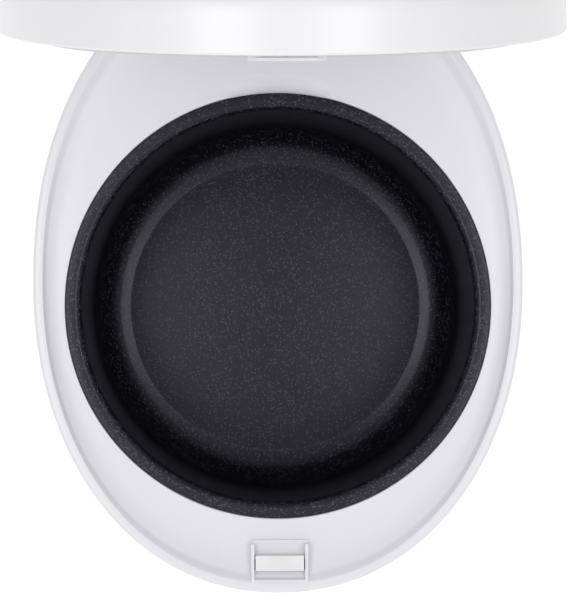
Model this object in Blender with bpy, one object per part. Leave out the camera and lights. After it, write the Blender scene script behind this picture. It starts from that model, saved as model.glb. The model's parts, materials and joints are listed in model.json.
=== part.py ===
"""An oval rice cooker with a lift-out pot, standing with its hinged lid open.

Everything is measured from the pot's vertical axis, with z = 0 where the feet stand.
The lid and what it carries are drawn closed and then turned open about the hinge.
"""

import math

import bmesh
import bpy
from mathutils import Vector

# ---------------------------------------------------------------- driving sizes
GAP = 0.0003            # between pieces that touch
FIT = 0.0004            # round a piece that passes through or slides in another

HALF_WIDTH = 0.135      # plan of the casing, widest a little behind the pot's axis
WIDEST_Y = 0.0139
FRONT_LENGTH = 0.1722
REAR_LENGTH = 0.1815
PLAN_POWER = 2.12       # 2 would be an ellipse
RIM_Z = 0.192           # top face of the casing's rim
BAND = 0.014            # height of the rim's outer band
BAND_WALL = 0.0024
WALL = 0.0026           # plastic wall

LID_REAR_LENGTH = 0.1506
LID_REAR_POWER = 2.55

HINGE_Y = 0.1725
HINGE_Z = RIM_Z + 0.0077
BARREL_RADIUS = 0.0074
BARREL_HALF = 0.036
EAR_RADIUS = 0.0070
EAR_IN = 0.044
EAR_OUT = 0.054
PIN_RADIUS = 0.0020
LID_OPEN = math.radians(78.5)

POT_RADIUS = 0.1085     # inside of the pot's wall
POT_WALL = 0.0020
POT_DEPTH = 0.135
POT_FLOOR_RADIUS = 0.085
FLANGE_RADIUS = 0.1178
FLANGE_Z = RIM_Z - 0.008
POT_ROOM = 0.0023       # round the pot in the frame's hole
HOLE_RADIUS = POT_RADIUS + POT_WALL + POT_ROOM
SEAT_EDGE = 0.1192      # where the tray ends round the flange
SEAT_Z = FLANGE_Z - 0.0024
TRAY_EDGE = 0.0116      # from the outer edge to where the tray starts
TRAY_LOW = RIM_Z - 0.0086
FRAME_UNDER = RIM_Z - 0.0129
COLLAR_UNDER = RIM_Z - 0.0160
COLLAR_WALL = 0.0014
SCOOP_Y = 0.1185        # the dish behind the pot
SCOOP_HALF = (0.032, 0.0115, 0.0040)
SCOOP_Z = RIM_Z - 0.0062
DRUM_RADIUS = 0.1148    # inside of the metal drum round the pot
DRUM_FLOOR = 0.026
SHEET = 0.0008

PLATE_RADIUS = 0.086    # heating plate
PLATE_THICK = 0.011
SENSOR_RADIUS = 0.0196
SENSOR_TRAVEL = 0.003

BASE_Z = 0.004
BASE_TOP = 0.0087
FOOT_RADIUS = 0.010
FOOT_PLACES = [(x, y) for y in (-0.090, 0.115) for x in (-0.078, 0.078)]
FOOT_STEM = 0.0034
SCREW_TURNS = (-122, -58, 50, 130)     # degrees round the plan
SCREW_INSET = 0.0228
SCREW_HEAD = 0.0033
SCREW_SHANK = 0.0015
STANDOFF_PLACES = [(x, y) for y in (0.128, 0.158) for x in (-0.036, 0.036)]
POWER_BOARD_Z = 0.016
SLOTS = 7               # air slots through the base
SLOT_PITCH = 0.012
SLOT_HALF_WIDTH = 0.002
SLOT_HALF_LENGTH = 0.040

PANEL_WIDTH = 0.092
PANEL_HEIGHT = 0.070
PANEL_Z = 0.105
WINDOW_WIDTH = 0.046
WINDOW_HEIGHT = 0.026
WINDOW_Z = 0.121
BUTTON_Z = 0.088
BUTTON_RADIUS = 0.0052
BUTTON_TRAVEL = 0.0012
BUTTON_X = {
    "menu_button": -0.021,
    "timer_button": -0.007,
    "keep_warm_button": 0.007,
    "start_button": 0.021,
}
BOARD_Y = -0.141        # front face of the display board
BOARD_THICK = 0.0016
SWITCH_HEIGHT = 0.0035
PANEL_POSTS = [(x, z) for x in (-0.035, 0.035) for z in (0.081, 0.133)]
INLET_PINS = {
    "inlet_pin_live": (-0.0068, 0.0415),
    "inlet_pin_neutral": (0.0068, 0.0415),
    "inlet_pin_earth": (0.0, 0.0450),
}
PIN_HALF_WIDTH = 0.0010
PIN_HALF_HEIGHT = 0.0020

RELEASE_WIDTH = 0.044
RELEASE_HEIGHT = 0.018
RELEASE_Z = RIM_Z - 0.036
RELEASE_PROUD = 0.0018

POCKET_HALF = 0.014     # latch pocket, inside its side walls
POCKET_WALL = 0.00175
POCKET_FRONT = -0.1523
POCKET_REAR = -0.1296
LATCH_Y = -0.1432       # latch pin
LATCH_Z = RIM_Z - 0.018
LATCH_PIN_RADIUS = 0.0015
POCKET_FLOOR = RIM_Z - 0.0050
NOSE_REAR = -0.1374
NOSE_FRONT = -0.1454
NOSE_TOP = RIM_Z + 0.0008
NOSE_UNDER = RIM_Z - 0.0014

VENT_Y = 0.060          # steam vent in the lid
VENT_RADIUS = 0.0227
LID_PLATE_RADIUS = 0.104
LID_SENSOR = (0.040, -0.035)

REAR_END = WIDEST_Y + REAR_LENGTH
FRONT_END = WIDEST_Y - FRONT_LENGTH - RELEASE_PROUD
ASSEMBLY_Y = -(REAR_END + FRONT_END) / 2   # sets the whole object midway over the origin

RING = 44               # sides of the oval pieces
TURN = 36               # sides of the large round pieces
SMALL = 12              # sides of the small round pieces

# ---------------------------------------------------------------- colours
SHELL_WHITE = ((0.80, 0.80, 0.82), 0.22, 0.0)
INNER_WHITE = ((0.74, 0.74, 0.76), 0.40, 0.0)
PANEL_GREY = ((0.42, 0.43, 0.45), 0.30, 0.0)
WINDOW_BLACK = ((0.01, 0.01, 0.012), 0.08, 0.0)
NON_STICK = ((0.045, 0.045, 0.052), 0.45, 0.2)
SHEET_METAL = ((0.62, 0.62, 0.63), 0.35, 1.0)
CAST_METAL = ((0.50, 0.50, 0.51), 0.50, 1.0)
STEEL = ((0.45, 0.45, 0.46), 0.30, 1.0)
SPRING_STEEL = ((0.36, 0.36, 0.37), 0.30, 1.0)
BRASS = ((0.70, 0.52, 0.25), 0.30, 1.0)
SILICONE = ((0.70, 0.70, 0.71), 0.60, 0.0)
RUBBER = ((0.05, 0.05, 0.05), 0.80, 0.0)
BOARD_GREEN = ((0.03, 0.18, 0.08), 0.50, 0.0)
PART_BLACK = ((0.02, 0.02, 0.02), 0.45, 0.0)
PART_BLUE = ((0.04, 0.10, 0.30), 0.45, 0.0)
LCD_GREY = ((0.30, 0.34, 0.30), 0.20, 0.0)
HEATER_MICA = ((0.35, 0.28, 0.20), 0.70, 0.0)


# ---------------------------------------------------------------- scene
def clear_scene():
    """Remove every object of the open file."""
    for item in list(bpy.data.objects):
        bpy.data.objects.remove(item)


def empty_at(name, place, parent=None):
    """An empty that pieces hang on."""
    empty = bpy.data.objects.new(name, None)
    bpy.context.collection.objects.link(empty)
    empty.location = place
    empty.parent = parent
    return empty


def solid_from(bm):
    """A new object holding a bmesh, with its faces pointing out."""
    bmesh.ops.recalc_face_normals(bm, faces=bm.faces)
    mesh = bpy.data.meshes.new("solid")
    bm.to_mesh(mesh)
    bm.free()
    solid = bpy.data.objects.new("solid", mesh)
    bpy.context.collection.objects.link(solid)
    return solid


def combined(solid, tool, operation):
    """One solid cut by, joined with or limited to another."""
    modifier = solid.modifiers.new("combine", "BOOLEAN")
    modifier.operation = operation
    modifier.solver = "EXACT"
    modifier.object = tool
    graph = bpy.context.evaluated_depsgraph_get()
    mesh = bpy.data.meshes.new_from_object(solid.evaluated_get(graph))
    solid.modifiers.clear()
    solid.data = mesh
    bpy.data.objects.remove(tool)
    return solid


def cut(solid, *tools):
    """Take each tool out of a solid."""
    for tool in tools:
        combined(solid, tool, "DIFFERENCE")
    return solid


def join(solid, *others):
    """Add each other solid to a solid."""
    for other in others:
        combined(solid, other, "UNION")
    return solid


def within(solid, tool):
    """Keep only what a solid shares with a tool."""
    return combined(solid, tool, "INTERSECT")


def material_for(name, look):
    """A material with a colour, a roughness and a metallic value."""
    colour, roughness, metallic = look
    made = bpy.data.materials.new(name)
    made.use_nodes = True
    shader = made.node_tree.nodes["Principled BSDF"]
    shader.inputs["Base Color"].default_value = (*colour, 1.0)
    shader.inputs["Roughness"].default_value = roughness
    shader.inputs["Metallic"].default_value = metallic
    return made


def piece(name, solid, look, parent, pivot=(0.0, 0.0, 0.0)):
    """Name a finished solid, colour it and hang it on its parent, with its origin at its pivot."""
    pivot = Vector(pivot)
    solid.name = name
    solid.data.name = name
    for vertex in solid.data.vertices:
        vertex.co -= pivot
    solid.data.materials.clear()
    solid.data.materials.append(material_for(name, look))
    solid.data.shade_smooth()
    solid.data.set_sharp_from_angle(angle=math.radians(35))
    solid.parent = parent
    rest = Vector((0.0, HINGE_Y, HINGE_Z)) if parent.name == "lid_hinge" else Vector()
    solid.location = pivot - rest
    return solid


# ---------------------------------------------------------------- shapes
def loft(rings, closed=False):
    """A skin through rings of equal length: a closed one joins its ends, an open one is capped."""
    bm = bmesh.new()
    made = [[bm.verts.new(point) for point in ring] for ring in rings]
    pairs = list(zip(made, made[1:]))
    if closed:
        pairs.append((made[-1], made[0]))
    else:
        bm.faces.new(made[0])
        bm.faces.new(made[-1])
    for one, other in pairs:
        for i in range(len(one)):
            j = (i + 1) % len(one)
            bm.faces.new((one[i], one[j], other[j], other[i]))
    return solid_from(bm)


def circle(radius, z, steps=TURN, centre=(0.0, 0.0)):
    """A level ring of points."""
    turns = [2 * math.pi * i / steps for i in range(steps)]
    return [(centre[0] + radius * math.cos(t), centre[1] + radius * math.sin(t), z) for t in turns]


def turned(profile, closed=False, steps=TURN, centre=(0.0, 0.0)):
    """A solid of revolution about a vertical axis, from (radius, z) points."""
    return loft([circle(r, z, steps, centre) for r, z in profile], closed)


def rod(start, end, radius, steps=SMALL):
    """A round bar between two points."""
    start, end = Vector(start), Vector(end)
    turn = (end - start).to_track_quat("Z", "Y")
    ends = [
        [point + turn @ Vector(p) for p in circle(radius, 0.0, steps)]
        for point in (start, end)
    ]
    return loft(ends)


def block(low, high, bevel=0.0):
    """A box between two corners, with its edges rounded if a bevel is given."""
    (x0, y0, z0), (x1, y1, z1) = low, high
    rings = [[(x0, y0, z), (x1, y0, z), (x1, y1, z), (x0, y1, z)] for z in (z0, z1)]
    solid = loft(rings)
    if bevel:
        bm = bmesh.new()
        bm.from_mesh(solid.data)
        bmesh.ops.bevel(
            bm, geom=bm.edges[:], offset=bevel, segments=1, profile=0.5, affect="EDGES"
        )
        bm.to_mesh(solid.data)
        bm.free()
    return solid


def rounded_prism_y(width, height, radius, z, y0, y1, x=0.0):
    """A bar along y whose section is a rectangle with rounded corners."""
    outline = []
    for corner, (sx, sz) in enumerate(((1, 1), (-1, 1), (-1, -1), (1, -1))):
        for i in range(5):
            turn = math.pi / 2 * (corner + i / 4)
            outline.append((
                x + sx * (width / 2 - radius) + radius * math.cos(turn),
                z + sz * (height / 2 - radius) + radius * math.sin(turn),
            ))
    return loft([[(px, y, pz) for px, pz in outline] for y in (y0, y1)])


def coil(centre, axis, radius, wire, length, turns, steps=9, sides=4):
    """A helical spring whose round wire runs about an axis, starting at the centre."""
    turn = Vector(axis).to_track_quat("Z", "Y")
    count = int(turns * steps)
    rings = []
    for i in range(count + 1):
        angle = 2 * math.pi * turns * i / count
        out = Vector((math.cos(angle), math.sin(angle), 0.0))
        middle = out * radius + Vector((0, 0, length * i / count))
        ring = []
        for k in range(sides):
            around = 2 * math.pi * k / sides
            offset = out * math.cos(around) * wire + Vector((0, 0, math.sin(around) * wire))
            ring.append(Vector(centre) + turn @ (middle + offset))
        rings.append(ring)
    return loft(rings)


# ---------------------------------------------------------------- plan of the casing and the lid
def plan_point(turn, inset, lid=False):
    """A point of the casing's (or lid's) plan, moved inwards along its normal."""
    c, s = math.cos(turn), math.sin(turn)
    power = LID_REAR_POWER if lid and s > 0 else PLAN_POWER
    length = FRONT_LENGTH
    if s > 0:
        length = LID_REAR_LENGTH if lid else REAR_LENGTH
    x = HALF_WIDTH * math.copysign(abs(c) ** (2 / power), c)
    y = length * math.copysign(abs(s) ** (2 / power), s)
    across = math.copysign(abs(x / HALF_WIDTH) ** (power - 1), x) / HALF_WIDTH
    along = math.copysign(abs(y / length) ** (power - 1), y) / length
    size = math.hypot(across, along)
    return x - inset * across / size, y + WIDEST_Y - inset * along / size


def plan(inset, z, lid=False):
    """A ring of the plan at a height."""
    points = [plan_point(2 * math.pi * i / RING, inset, lid) for i in range(RING)]
    return [(x, y, z) for x, y in points]


def plan_scaled(scale, z):
    """A ring of the lid's plan shrunk about its middle."""
    middle_y = WIDEST_Y
    points = [plan_point(2 * math.pi * i / RING, 0.0, True) for i in range(RING)]
    return [(x * scale, middle_y + (y - middle_y) * scale, z) for x, y in points]


def round_ring(radius, z, lid=False):
    """A circle whose points lie on the same spokes as the plan's."""
    points = []
    for i in range(RING):
        x, y = plan_point(2 * math.pi * i / RING, 0.0, lid)
        size = radius / math.hypot(x, y)
        points.append((x * size, y * size, z))
    return points


def between(one, other, share, z):
    """A ring part of the way from one ring to another."""
    return [
        (a[0] + (b[0] - a[0]) * share, a[1] + (b[1] - a[1]) * share, z)
        for a, b in zip(one, other)
    ]


def front_y(x, inset):
    """Where the front wall stands at a sideways place."""
    share = (1 - (abs(x) / HALF_WIDTH) ** PLAN_POWER) ** (1 / PLAN_POWER)
    return WIDEST_Y - FRONT_LENGTH * share + inset


def wall_layer(outer, inner, z0, z1):
    """An upright band that follows the casing's wall."""
    rings = [plan(outer, z0), plan(outer, z1), plan(inner, z1), plan(inner, z0)]
    return loft(rings, closed=True)


def front_patch(outer, inner, width, height, radius, z):
    """The part of the wall seen through a rounded opening in the front."""
    layer = wall_layer(outer, inner, z - height, z + height)
    return within(layer, rounded_prism_y(width, height, radius, z, -0.20, -0.10))


# ---------------------------------------------------------------- casing
def build_casing(body):
    """The outer shell, the frame with rim and tray, the hinge cowl and the base."""
    shell = loft([
        plan(0.0003, RIM_Z - BAND - GAP),
        plan(0.0003, 0.072),
        plan(0.0016, 0.048),
        plan(0.0055, 0.028),
        plan(0.0120, 0.014),
        plan(0.0180, 0.009),
        plan(0.0205, 0.010),
        plan(0.0145, 0.0165),
        plan(0.0082, 0.030),
        plan(0.0043, 0.049),
        plan(0.0003 + WALL, 0.072),
        plan(0.0003 + WALL, RIM_Z - BAND - GAP),
    ], closed=True)
    cut(
        shell,
        rounded_prism_y(PANEL_WIDTH + 2 * GAP, PANEL_HEIGHT + 2 * GAP, 0.0103, PANEL_Z, -0.20, -0.10),
        rounded_prism_y(
            RELEASE_WIDTH + 2 * FIT, RELEASE_HEIGHT + 2 * FIT, 0.0064, RELEASE_Z, -0.20, -0.10
        ),
        block((-0.0154, 0.15, 0.0306), (0.0154, 0.21, 0.0534)),
    )
    for x, y in screw_places():
        join(shell, rod((x, y, BASE_TOP + 0.0005), (x, y, 0.024), 0.0040))
        cut(shell, rod((x, y, 0.008), (x, y, 0.022), SCREW_SHANK + GAP))
    piece("outer_shell", shell, SHELL_WHITE, body)

    tray = plan(TRAY_EDGE, RIM_Z), round_ring(SEAT_EDGE, RIM_Z)
    frame = loft([
        plan(0.0, RIM_Z - BAND),
        plan(0.0, RIM_Z - 0.0020),
        plan(0.0006, RIM_Z - 0.0006),
        plan(0.0020, RIM_Z),
        plan(0.0056, RIM_Z),
        plan(0.0103, RIM_Z - 0.0020),
        plan(TRAY_EDGE, RIM_Z - 0.0023),
        between(*tray, 0.35, RIM_Z - 0.0052),
        between(*tray, 0.70, RIM_Z - 0.0076),
        between(*tray, 1.00, TRAY_LOW),
        round_ring(SEAT_EDGE - FIT, SEAT_Z),
        round_ring(HOLE_RADIUS, SEAT_Z),
        round_ring(HOLE_RADIUS, COLLAR_UNDER),
        round_ring(HOLE_RADIUS + COLLAR_WALL, COLLAR_UNDER),
        round_ring(HOLE_RADIUS + COLLAR_WALL, FRAME_UNDER),
        round_ring(SEAT_EDGE + 0.0022, FRAME_UNDER),
        plan(0.0095, RIM_Z - 0.0060),
        plan(0.0050, RIM_Z - WALL),
        plan(BAND_WALL, RIM_Z - WALL),
        plan(BAND_WALL, RIM_Z - BAND),
    ], closed=True)
    for side in (-1, 1):
        low, high = sorted((side * EAR_IN, side * EAR_OUT))
        join(
            frame,
            block(
                (low, HINGE_Y - EAR_RADIUS, RIM_Z - 0.0055),
                (high, HINGE_Y + EAR_RADIUS, HINGE_Z),
            ),
            rod((low, HINGE_Y, HINGE_Z), (high, HINGE_Y, HINGE_Z), EAR_RADIUS, 28),
        )
        cut(frame, rod(
            (side * 0.040, HINGE_Y, HINGE_Z), (side * 0.058, HINGE_Y, HINGE_Z),
            PIN_RADIUS + GAP,
        ))
    pocket = block(
        (-POCKET_HALF - POCKET_WALL - GAP, POCKET_FRONT - GAP, RIM_Z - 0.030),
        (POCKET_HALF + POCKET_WALL + GAP, POCKET_REAR + GAP, RIM_Z + 0.010),
    )
    cut(frame, pocket, drain_scoop())
    piece("top_frame", frame, SHELL_WHITE, body)

    cowl_front = HINGE_Y + BARREL_RADIUS + 0.0012
    cowl = loft([
        plan(0.0030, RIM_Z + GAP),
        plan(0.0024, RIM_Z + 0.0030),
        plan(0.0034, RIM_Z + 0.0056),
        plan(0.0056, RIM_Z + 0.0068),
    ])
    within(cowl, block((-0.060, cowl_front, RIM_Z - 0.01), (0.060, 0.22, RIM_Z + 0.02)))
    piece("hinge_cowl", cowl, SHELL_WHITE, body)

    base = loft([
        plan(0.0220, BASE_Z),
        plan(0.0185, BASE_Z + 0.0012),
        plan(0.0175, BASE_Z + 0.0030),
        plan(0.0175, BASE_TOP),
    ])
    for x, y in FOOT_PLACES:
        cut(base, rod((x, y, 0.0), (x, y, 0.02), FOOT_STEM + FIT))
    for x, y in screw_places():
        cut(
            base,
            rod((x, y, 0.0), (x, y, 0.02), SCREW_SHANK + GAP),
            rod((x, y, 0.0), (x, y, BASE_Z + 0.0022), SCREW_HEAD + GAP, 16),
        )
    for i in range(SLOTS):
        x = (i - (SLOTS - 1) / 2) * SLOT_PITCH
        cut(base, block(
            (x - SLOT_HALF_WIDTH, -SLOT_HALF_LENGTH, 0.0), (x + SLOT_HALF_WIDTH, SLOT_HALF_LENGTH, 0.02)
        ))
    for x, y in STANDOFF_PLACES:
        join(base, rod((x, y, BASE_TOP - 0.001), (x, y, POWER_BOARD_Z - GAP), 0.003, 12))
    piece("base_plate", base, INNER_WHITE, body)


def screw_places():
    """The four places of the screws, a little inside the wall."""
    return [plan_point(math.radians(turn), SCREW_INSET) for turn in SCREW_TURNS]


def drain_scoop():
    """The shallow dish behind the pot, a flattened ball that the tray is hollowed by."""
    bm = bmesh.new()
    bmesh.ops.create_uvsphere(bm, u_segments=32, v_segments=12, radius=1.0)
    bmesh.ops.scale(bm, verts=bm.verts, vec=SCOOP_HALF)
    bmesh.ops.translate(bm, verts=bm.verts, vec=(0.0, SCOOP_Y, SCOOP_Z))
    return solid_from(bm)


def build_feet_and_screws(body):
    """Four rubber feet pushed into the base and four screws that hold it to the shell."""
    places = ["front_left", "front_right", "rear_left", "rear_right"]
    for place, (x, y) in zip(places, FOOT_PLACES):
        foot = turned(
            [
                (0.0086, 0.0), (FOOT_RADIUS, 0.0012), (FOOT_RADIUS, BASE_Z - GAP),
                (FOOT_STEM, BASE_Z - GAP), (FOOT_STEM, BASE_TOP + 0.0006),
                (FOOT_STEM - 0.0010, BASE_TOP + 0.0014),
            ],
            steps=14, centre=(x, y),
        )
        piece(f"foot_{place}", foot, RUBBER, body, (x, y, 0.0))
    names = ["front_left", "front_right", "rear_right", "rear_left"]
    for place, (x, y) in zip(names, screw_places()):
        screw = turned(
            [
                (SCREW_HEAD, BASE_Z + 0.0001), (SCREW_HEAD, BASE_Z + 0.0019),
                (SCREW_SHANK, BASE_Z + 0.0019), (SCREW_SHANK, 0.020),
            ],
            steps=10, centre=(x, y),
        )
        cut(screw, block((x - 0.0040, y - 0.0004, 0.0), (x + 0.0040, y + 0.0004, BASE_Z + 0.0009)))
        piece(f"base_screw_{place}", screw, STEEL, body, (x, y, BASE_Z))


# ---------------------------------------------------------------- heating
def build_heating(body):
    """The drum round the pot, what it stands on, the heaters and the sprung sensor."""
    drum_top = FRAME_UNDER - GAP
    drum = turned([
        (DRUM_RADIUS + SHEET, drum_top),
        (DRUM_RADIUS + SHEET, DRUM_FLOOR),
        (0.060, DRUM_FLOOR),
        (0.060, DRUM_FLOOR + SHEET),
        (DRUM_RADIUS, DRUM_FLOOR + SHEET),
        (DRUM_RADIUS, drum_top),
    ], closed=True)
    piece("inner_drum", drum, SHEET_METAL, body)
    for i in range(3):
        turn = math.radians(30 + 120 * i)
        x, y = 0.095 * math.cos(turn), 0.095 * math.sin(turn)
        post = rod((x, y, BASE_TOP + GAP), (x, y, DRUM_FLOOR - GAP), 0.006)
        piece(f"drum_post_{i + 1}", post, INNER_WHITE, body, (x, y, BASE_TOP))

    plate_top = FLANGE_Z - POT_DEPTH - POT_WALL - GAP
    plate_under = plate_top - PLATE_THICK
    plate = turned([
        (PLATE_RADIUS - 0.002, plate_top),
        (PLATE_RADIUS, plate_top - 0.002),
        (PLATE_RADIUS, plate_under),
        (SENSOR_RADIUS + 0.001, plate_under),
        (SENSOR_RADIUS + 0.001, plate_top),
    ], closed=True)
    for i in range(3):
        turn = math.radians(90 + 120 * i)
        x, y = 0.074 * math.cos(turn), 0.074 * math.sin(turn)
        join(plate, rod((x, y, DRUM_FLOOR + SHEET + GAP), (x, y, plate_under + 0.001), 0.005))
    piece("heating_plate", plate, CAST_METAL, body)

    bracket_low = DRUM_FLOOR + SHEET + GAP
    bracket_top = bracket_low + 0.0015
    bracket = block((-0.070, -0.010, bracket_low), (0.070, 0.010, bracket_top))
    cut(bracket, rod((0, 0, 0.0), (0, 0, 0.1), 0.0038))
    piece("sensor_bracket", bracket, STEEL, body)

    crown = plate_top - 0.0022
    skirt = bracket_top + SENSOR_TRAVEL + 0.0008
    sensor = turned([
        (0.0030, DRUM_FLOOR - 0.006),
        (0.0030, crown),
        (SENSOR_RADIUS - 0.0014, crown),
        (SENSOR_RADIUS - 0.0014, skirt),
        (SENSOR_RADIUS, skirt),
        (SENSOR_RADIUS, plate_top - 0.001),
        (SENSOR_RADIUS - 0.001, plate_top),
    ], steps=32)
    piece("sensor_plunger", sensor, SHEET_METAL, body, (0, 0, bracket_top))
    wire = 0.0008
    spring = coil(
        (0, 0, bracket_top + wire + GAP), (0, 0, 1), 0.009, wire,
        crown - bracket_top - 2 * wire - 2 * GAP, 4,
    )
    piece("sensor_spring", spring, SPRING_STEEL, body, (0, 0, bracket_top))

    band = turned([
        (DRUM_RADIUS + SHEET + GAP, 0.106),
        (DRUM_RADIUS + SHEET + 0.0018, 0.106),
        (DRUM_RADIUS + SHEET + 0.0018, 0.130),
        (DRUM_RADIUS + SHEET + GAP, 0.130),
    ], closed=True)
    piece("side_heater", band, HEATER_MICA, body)
    fuse_y = DRUM_RADIUS + SHEET + 0.0036
    fuse = rod((-0.012, fuse_y, 0.072), (0.012, fuse_y, 0.072), 0.003)
    piece("thermal_fuse", fuse, PART_BLACK, body, (0, fuse_y, 0.072))


def build_pot(carrier):
    """The pressed pot with its rolled mouth and flat flange, hanging free in the hole."""
    floor = FLANGE_Z - POT_DEPTH
    corner = POT_RADIUS - POT_FLOOR_RADIUS
    inner, outer = [], []
    for i in range(5):
        turn = math.pi / 2 * i / 4
        out, up = math.sin(turn), 1 - math.cos(turn)
        inner.append((POT_FLOOR_RADIUS + corner * out, floor + corner * up))
        outer.append((
            POT_FLOOR_RADIUS + (corner + POT_WALL) * out,
            floor - POT_WALL + (corner + POT_WALL) * up,
        ))
    mouth = [
        (POT_RADIUS, FLANGE_Z - 0.0060),
        (POT_RADIUS + 0.0008, FLANGE_Z - 0.0030),
        (POT_RADIUS + 0.0028, FLANGE_Z - 0.0008),
        (POT_RADIUS + 0.0050, FLANGE_Z),
        (FLANGE_RADIUS - 0.0005, FLANGE_Z),
        (FLANGE_RADIUS, FLANGE_Z - 0.0006),
        (FLANGE_RADIUS, FLANGE_Z - 0.0020),
        (POT_RADIUS + POT_WALL + 0.0020, FLANGE_Z - 0.0020),
        (POT_RADIUS + POT_WALL, FLANGE_Z - 0.0044),
    ]
    profile = [(0.030, floor)] + inner + mouth + outer[::-1] + [(0.030, floor - POT_WALL)]
    piece("inner_pot", turned(profile), NON_STICK, carrier, (0, 0, FLANGE_Z))


# ---------------------------------------------------------------- electrics
def build_boards(body):
    """The power board with its parts, the inlet, and the display board with the display."""
    board = block((-0.042, 0.122, POWER_BOARD_Z), (0.042, 0.164, POWER_BOARD_Z + BOARD_THICK))
    piece("power_board", board, BOARD_GREEN, body, (0, 0.143, POWER_BOARD_Z))
    top = POWER_BOARD_Z + BOARD_THICK + GAP
    transformer = block((-0.034, 0.130, top), (-0.006, 0.152, top + 0.024), 0.001)
    join(transformer, block((-0.030, 0.126, top + 0.004), (-0.010, 0.156, top + 0.020)))
    piece("power_transformer", transformer, PART_BLACK, body, (-0.020, 0.141, top))
    relay = block((0.004, 0.130, top), (0.019, 0.149, top + 0.016), 0.0006)
    piece("power_relay", relay, PART_BLUE, body, (0.0115, 0.1395, top))
    capacitor = rod((0.030, 0.140, top), (0.030, 0.140, top + 0.022), 0.006)
    piece("power_capacitor", capacitor, PART_BLACK, body, (0.030, 0.140, top))

    inlet = block((-0.015, 0.172, 0.031), (0.015, 0.1950, 0.053), 0.0008)
    mouth = [(-0.0115, 0.0475), (-0.0115, 0.0390), (-0.0080, 0.0355), (0.0080, 0.0355),
             (0.0115, 0.0390), (0.0115, 0.0475), (0.0105, 0.0485), (-0.0105, 0.0485)]
    cut(inlet, loft([[(x, y, z) for x, z in mouth] for y in (0.1765, 0.200)]))
    for x, z in INLET_PINS.values():
        cut(inlet, block(
            (x - PIN_HALF_WIDTH - GAP, 0.16, z - PIN_HALF_HEIGHT - GAP),
            (x + PIN_HALF_WIDTH + GAP, 0.19, z + PIN_HALF_HEIGHT + GAP),
        ))
    piece("inlet_housing", inlet, PART_BLACK, body, (0, 0.1950, 0.042))
    for name, (x, z) in INLET_PINS.items():
        pin = block(
            (x - PIN_HALF_WIDTH, 0.1670, z - PIN_HALF_HEIGHT),
            (x + PIN_HALF_WIDTH, 0.1900, z + PIN_HALF_HEIGHT), 0.0003,
        )
        piece(name, pin, BRASS, body, (x, 0.1900, z))

    board = block((-0.039, BOARD_Y, 0.076), (0.039, BOARD_Y + BOARD_THICK, 0.138))
    for x in BUTTON_X.values():
        join(board, block(
            (x - 0.003, BOARD_Y - SWITCH_HEIGHT, BUTTON_Z - 0.003),
            (x + 0.003, BOARD_Y + 0.0005, BUTTON_Z + 0.003),
        ))
    for x, z in PANEL_POSTS:
        cut(board, rod((x, -0.15, z), (x, -0.13, z), 0.0018, 12))
    piece("display_board", board, BOARD_GREEN, body, (0, BOARD_Y, PANEL_Z))
    lcd = block((-0.021, front_y(0.021, 0.0024), 0.1105), (0.021, BOARD_Y - GAP, 0.1315), 0.0006)
    piece("lcd_module", lcd, LCD_GREY, body, (0, BOARD_Y, WINDOW_Z))


def build_panel(body):
    """The curved front panel, its window, and four buttons that press straight back."""
    panel = front_patch(-0.0006, 0.0029, PANEL_WIDTH, PANEL_HEIGHT, 0.010, PANEL_Z)
    for x, z in PANEL_POSTS:
        join(
            panel,
            rod((x, front_y(x, 0.0015), z), (x, BOARD_Y - GAP, z), 0.0030, 16),
            rod((x, BOARD_Y - 0.002, z), (x, BOARD_Y + 0.003, z), 0.0015, 12),
        )
    cut(panel, rounded_prism_y(
        WINDOW_WIDTH + 2 * GAP, WINDOW_HEIGHT + 2 * GAP, 0.0033, WINDOW_Z, -0.20, -0.10
    ))
    for x in BUTTON_X.values():
        cut(panel, rod((x, -0.20, BUTTON_Z), (x, -0.15, BUTTON_Z), BUTTON_RADIUS + FIT))
    piece("control_panel", panel, PANEL_GREY, body)
    window = front_patch(-0.0006, 0.0014, WINDOW_WIDTH, WINDOW_HEIGHT, 0.003, WINDOW_Z)
    piece("display_window", window, WINDOW_BLACK, body, (0, front_y(0, 0), WINDOW_Z))

    flange = BUTTON_RADIUS + 0.0014
    for name, x in BUTTON_X.items():
        collar = front_y(abs(x) + flange, 0.0029) + FIT
        cap = rod((x, -0.20, BUTTON_Z), (x, collar + 0.0010, BUTTON_Z), BUTTON_RADIUS)
        face = loft([plan(-0.0014, BUTTON_Z - 0.02), plan(-0.0014, BUTTON_Z + 0.02)])
        within(cap, face)
        stem_end = BOARD_Y - SWITCH_HEIGHT - BUTTON_TRAVEL - GAP
        join(
            cap,
            rod((x, collar, BUTTON_Z), (x, collar + 0.0012, BUTTON_Z), flange),
            rod((x, collar + 0.0006, BUTTON_Z), (x, stem_end, BUTTON_Z), 0.0022, 12),
        )
        piece(name, cap, SHELL_WHITE, body, (x, front_y(x, 0), BUTTON_Z))


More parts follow.
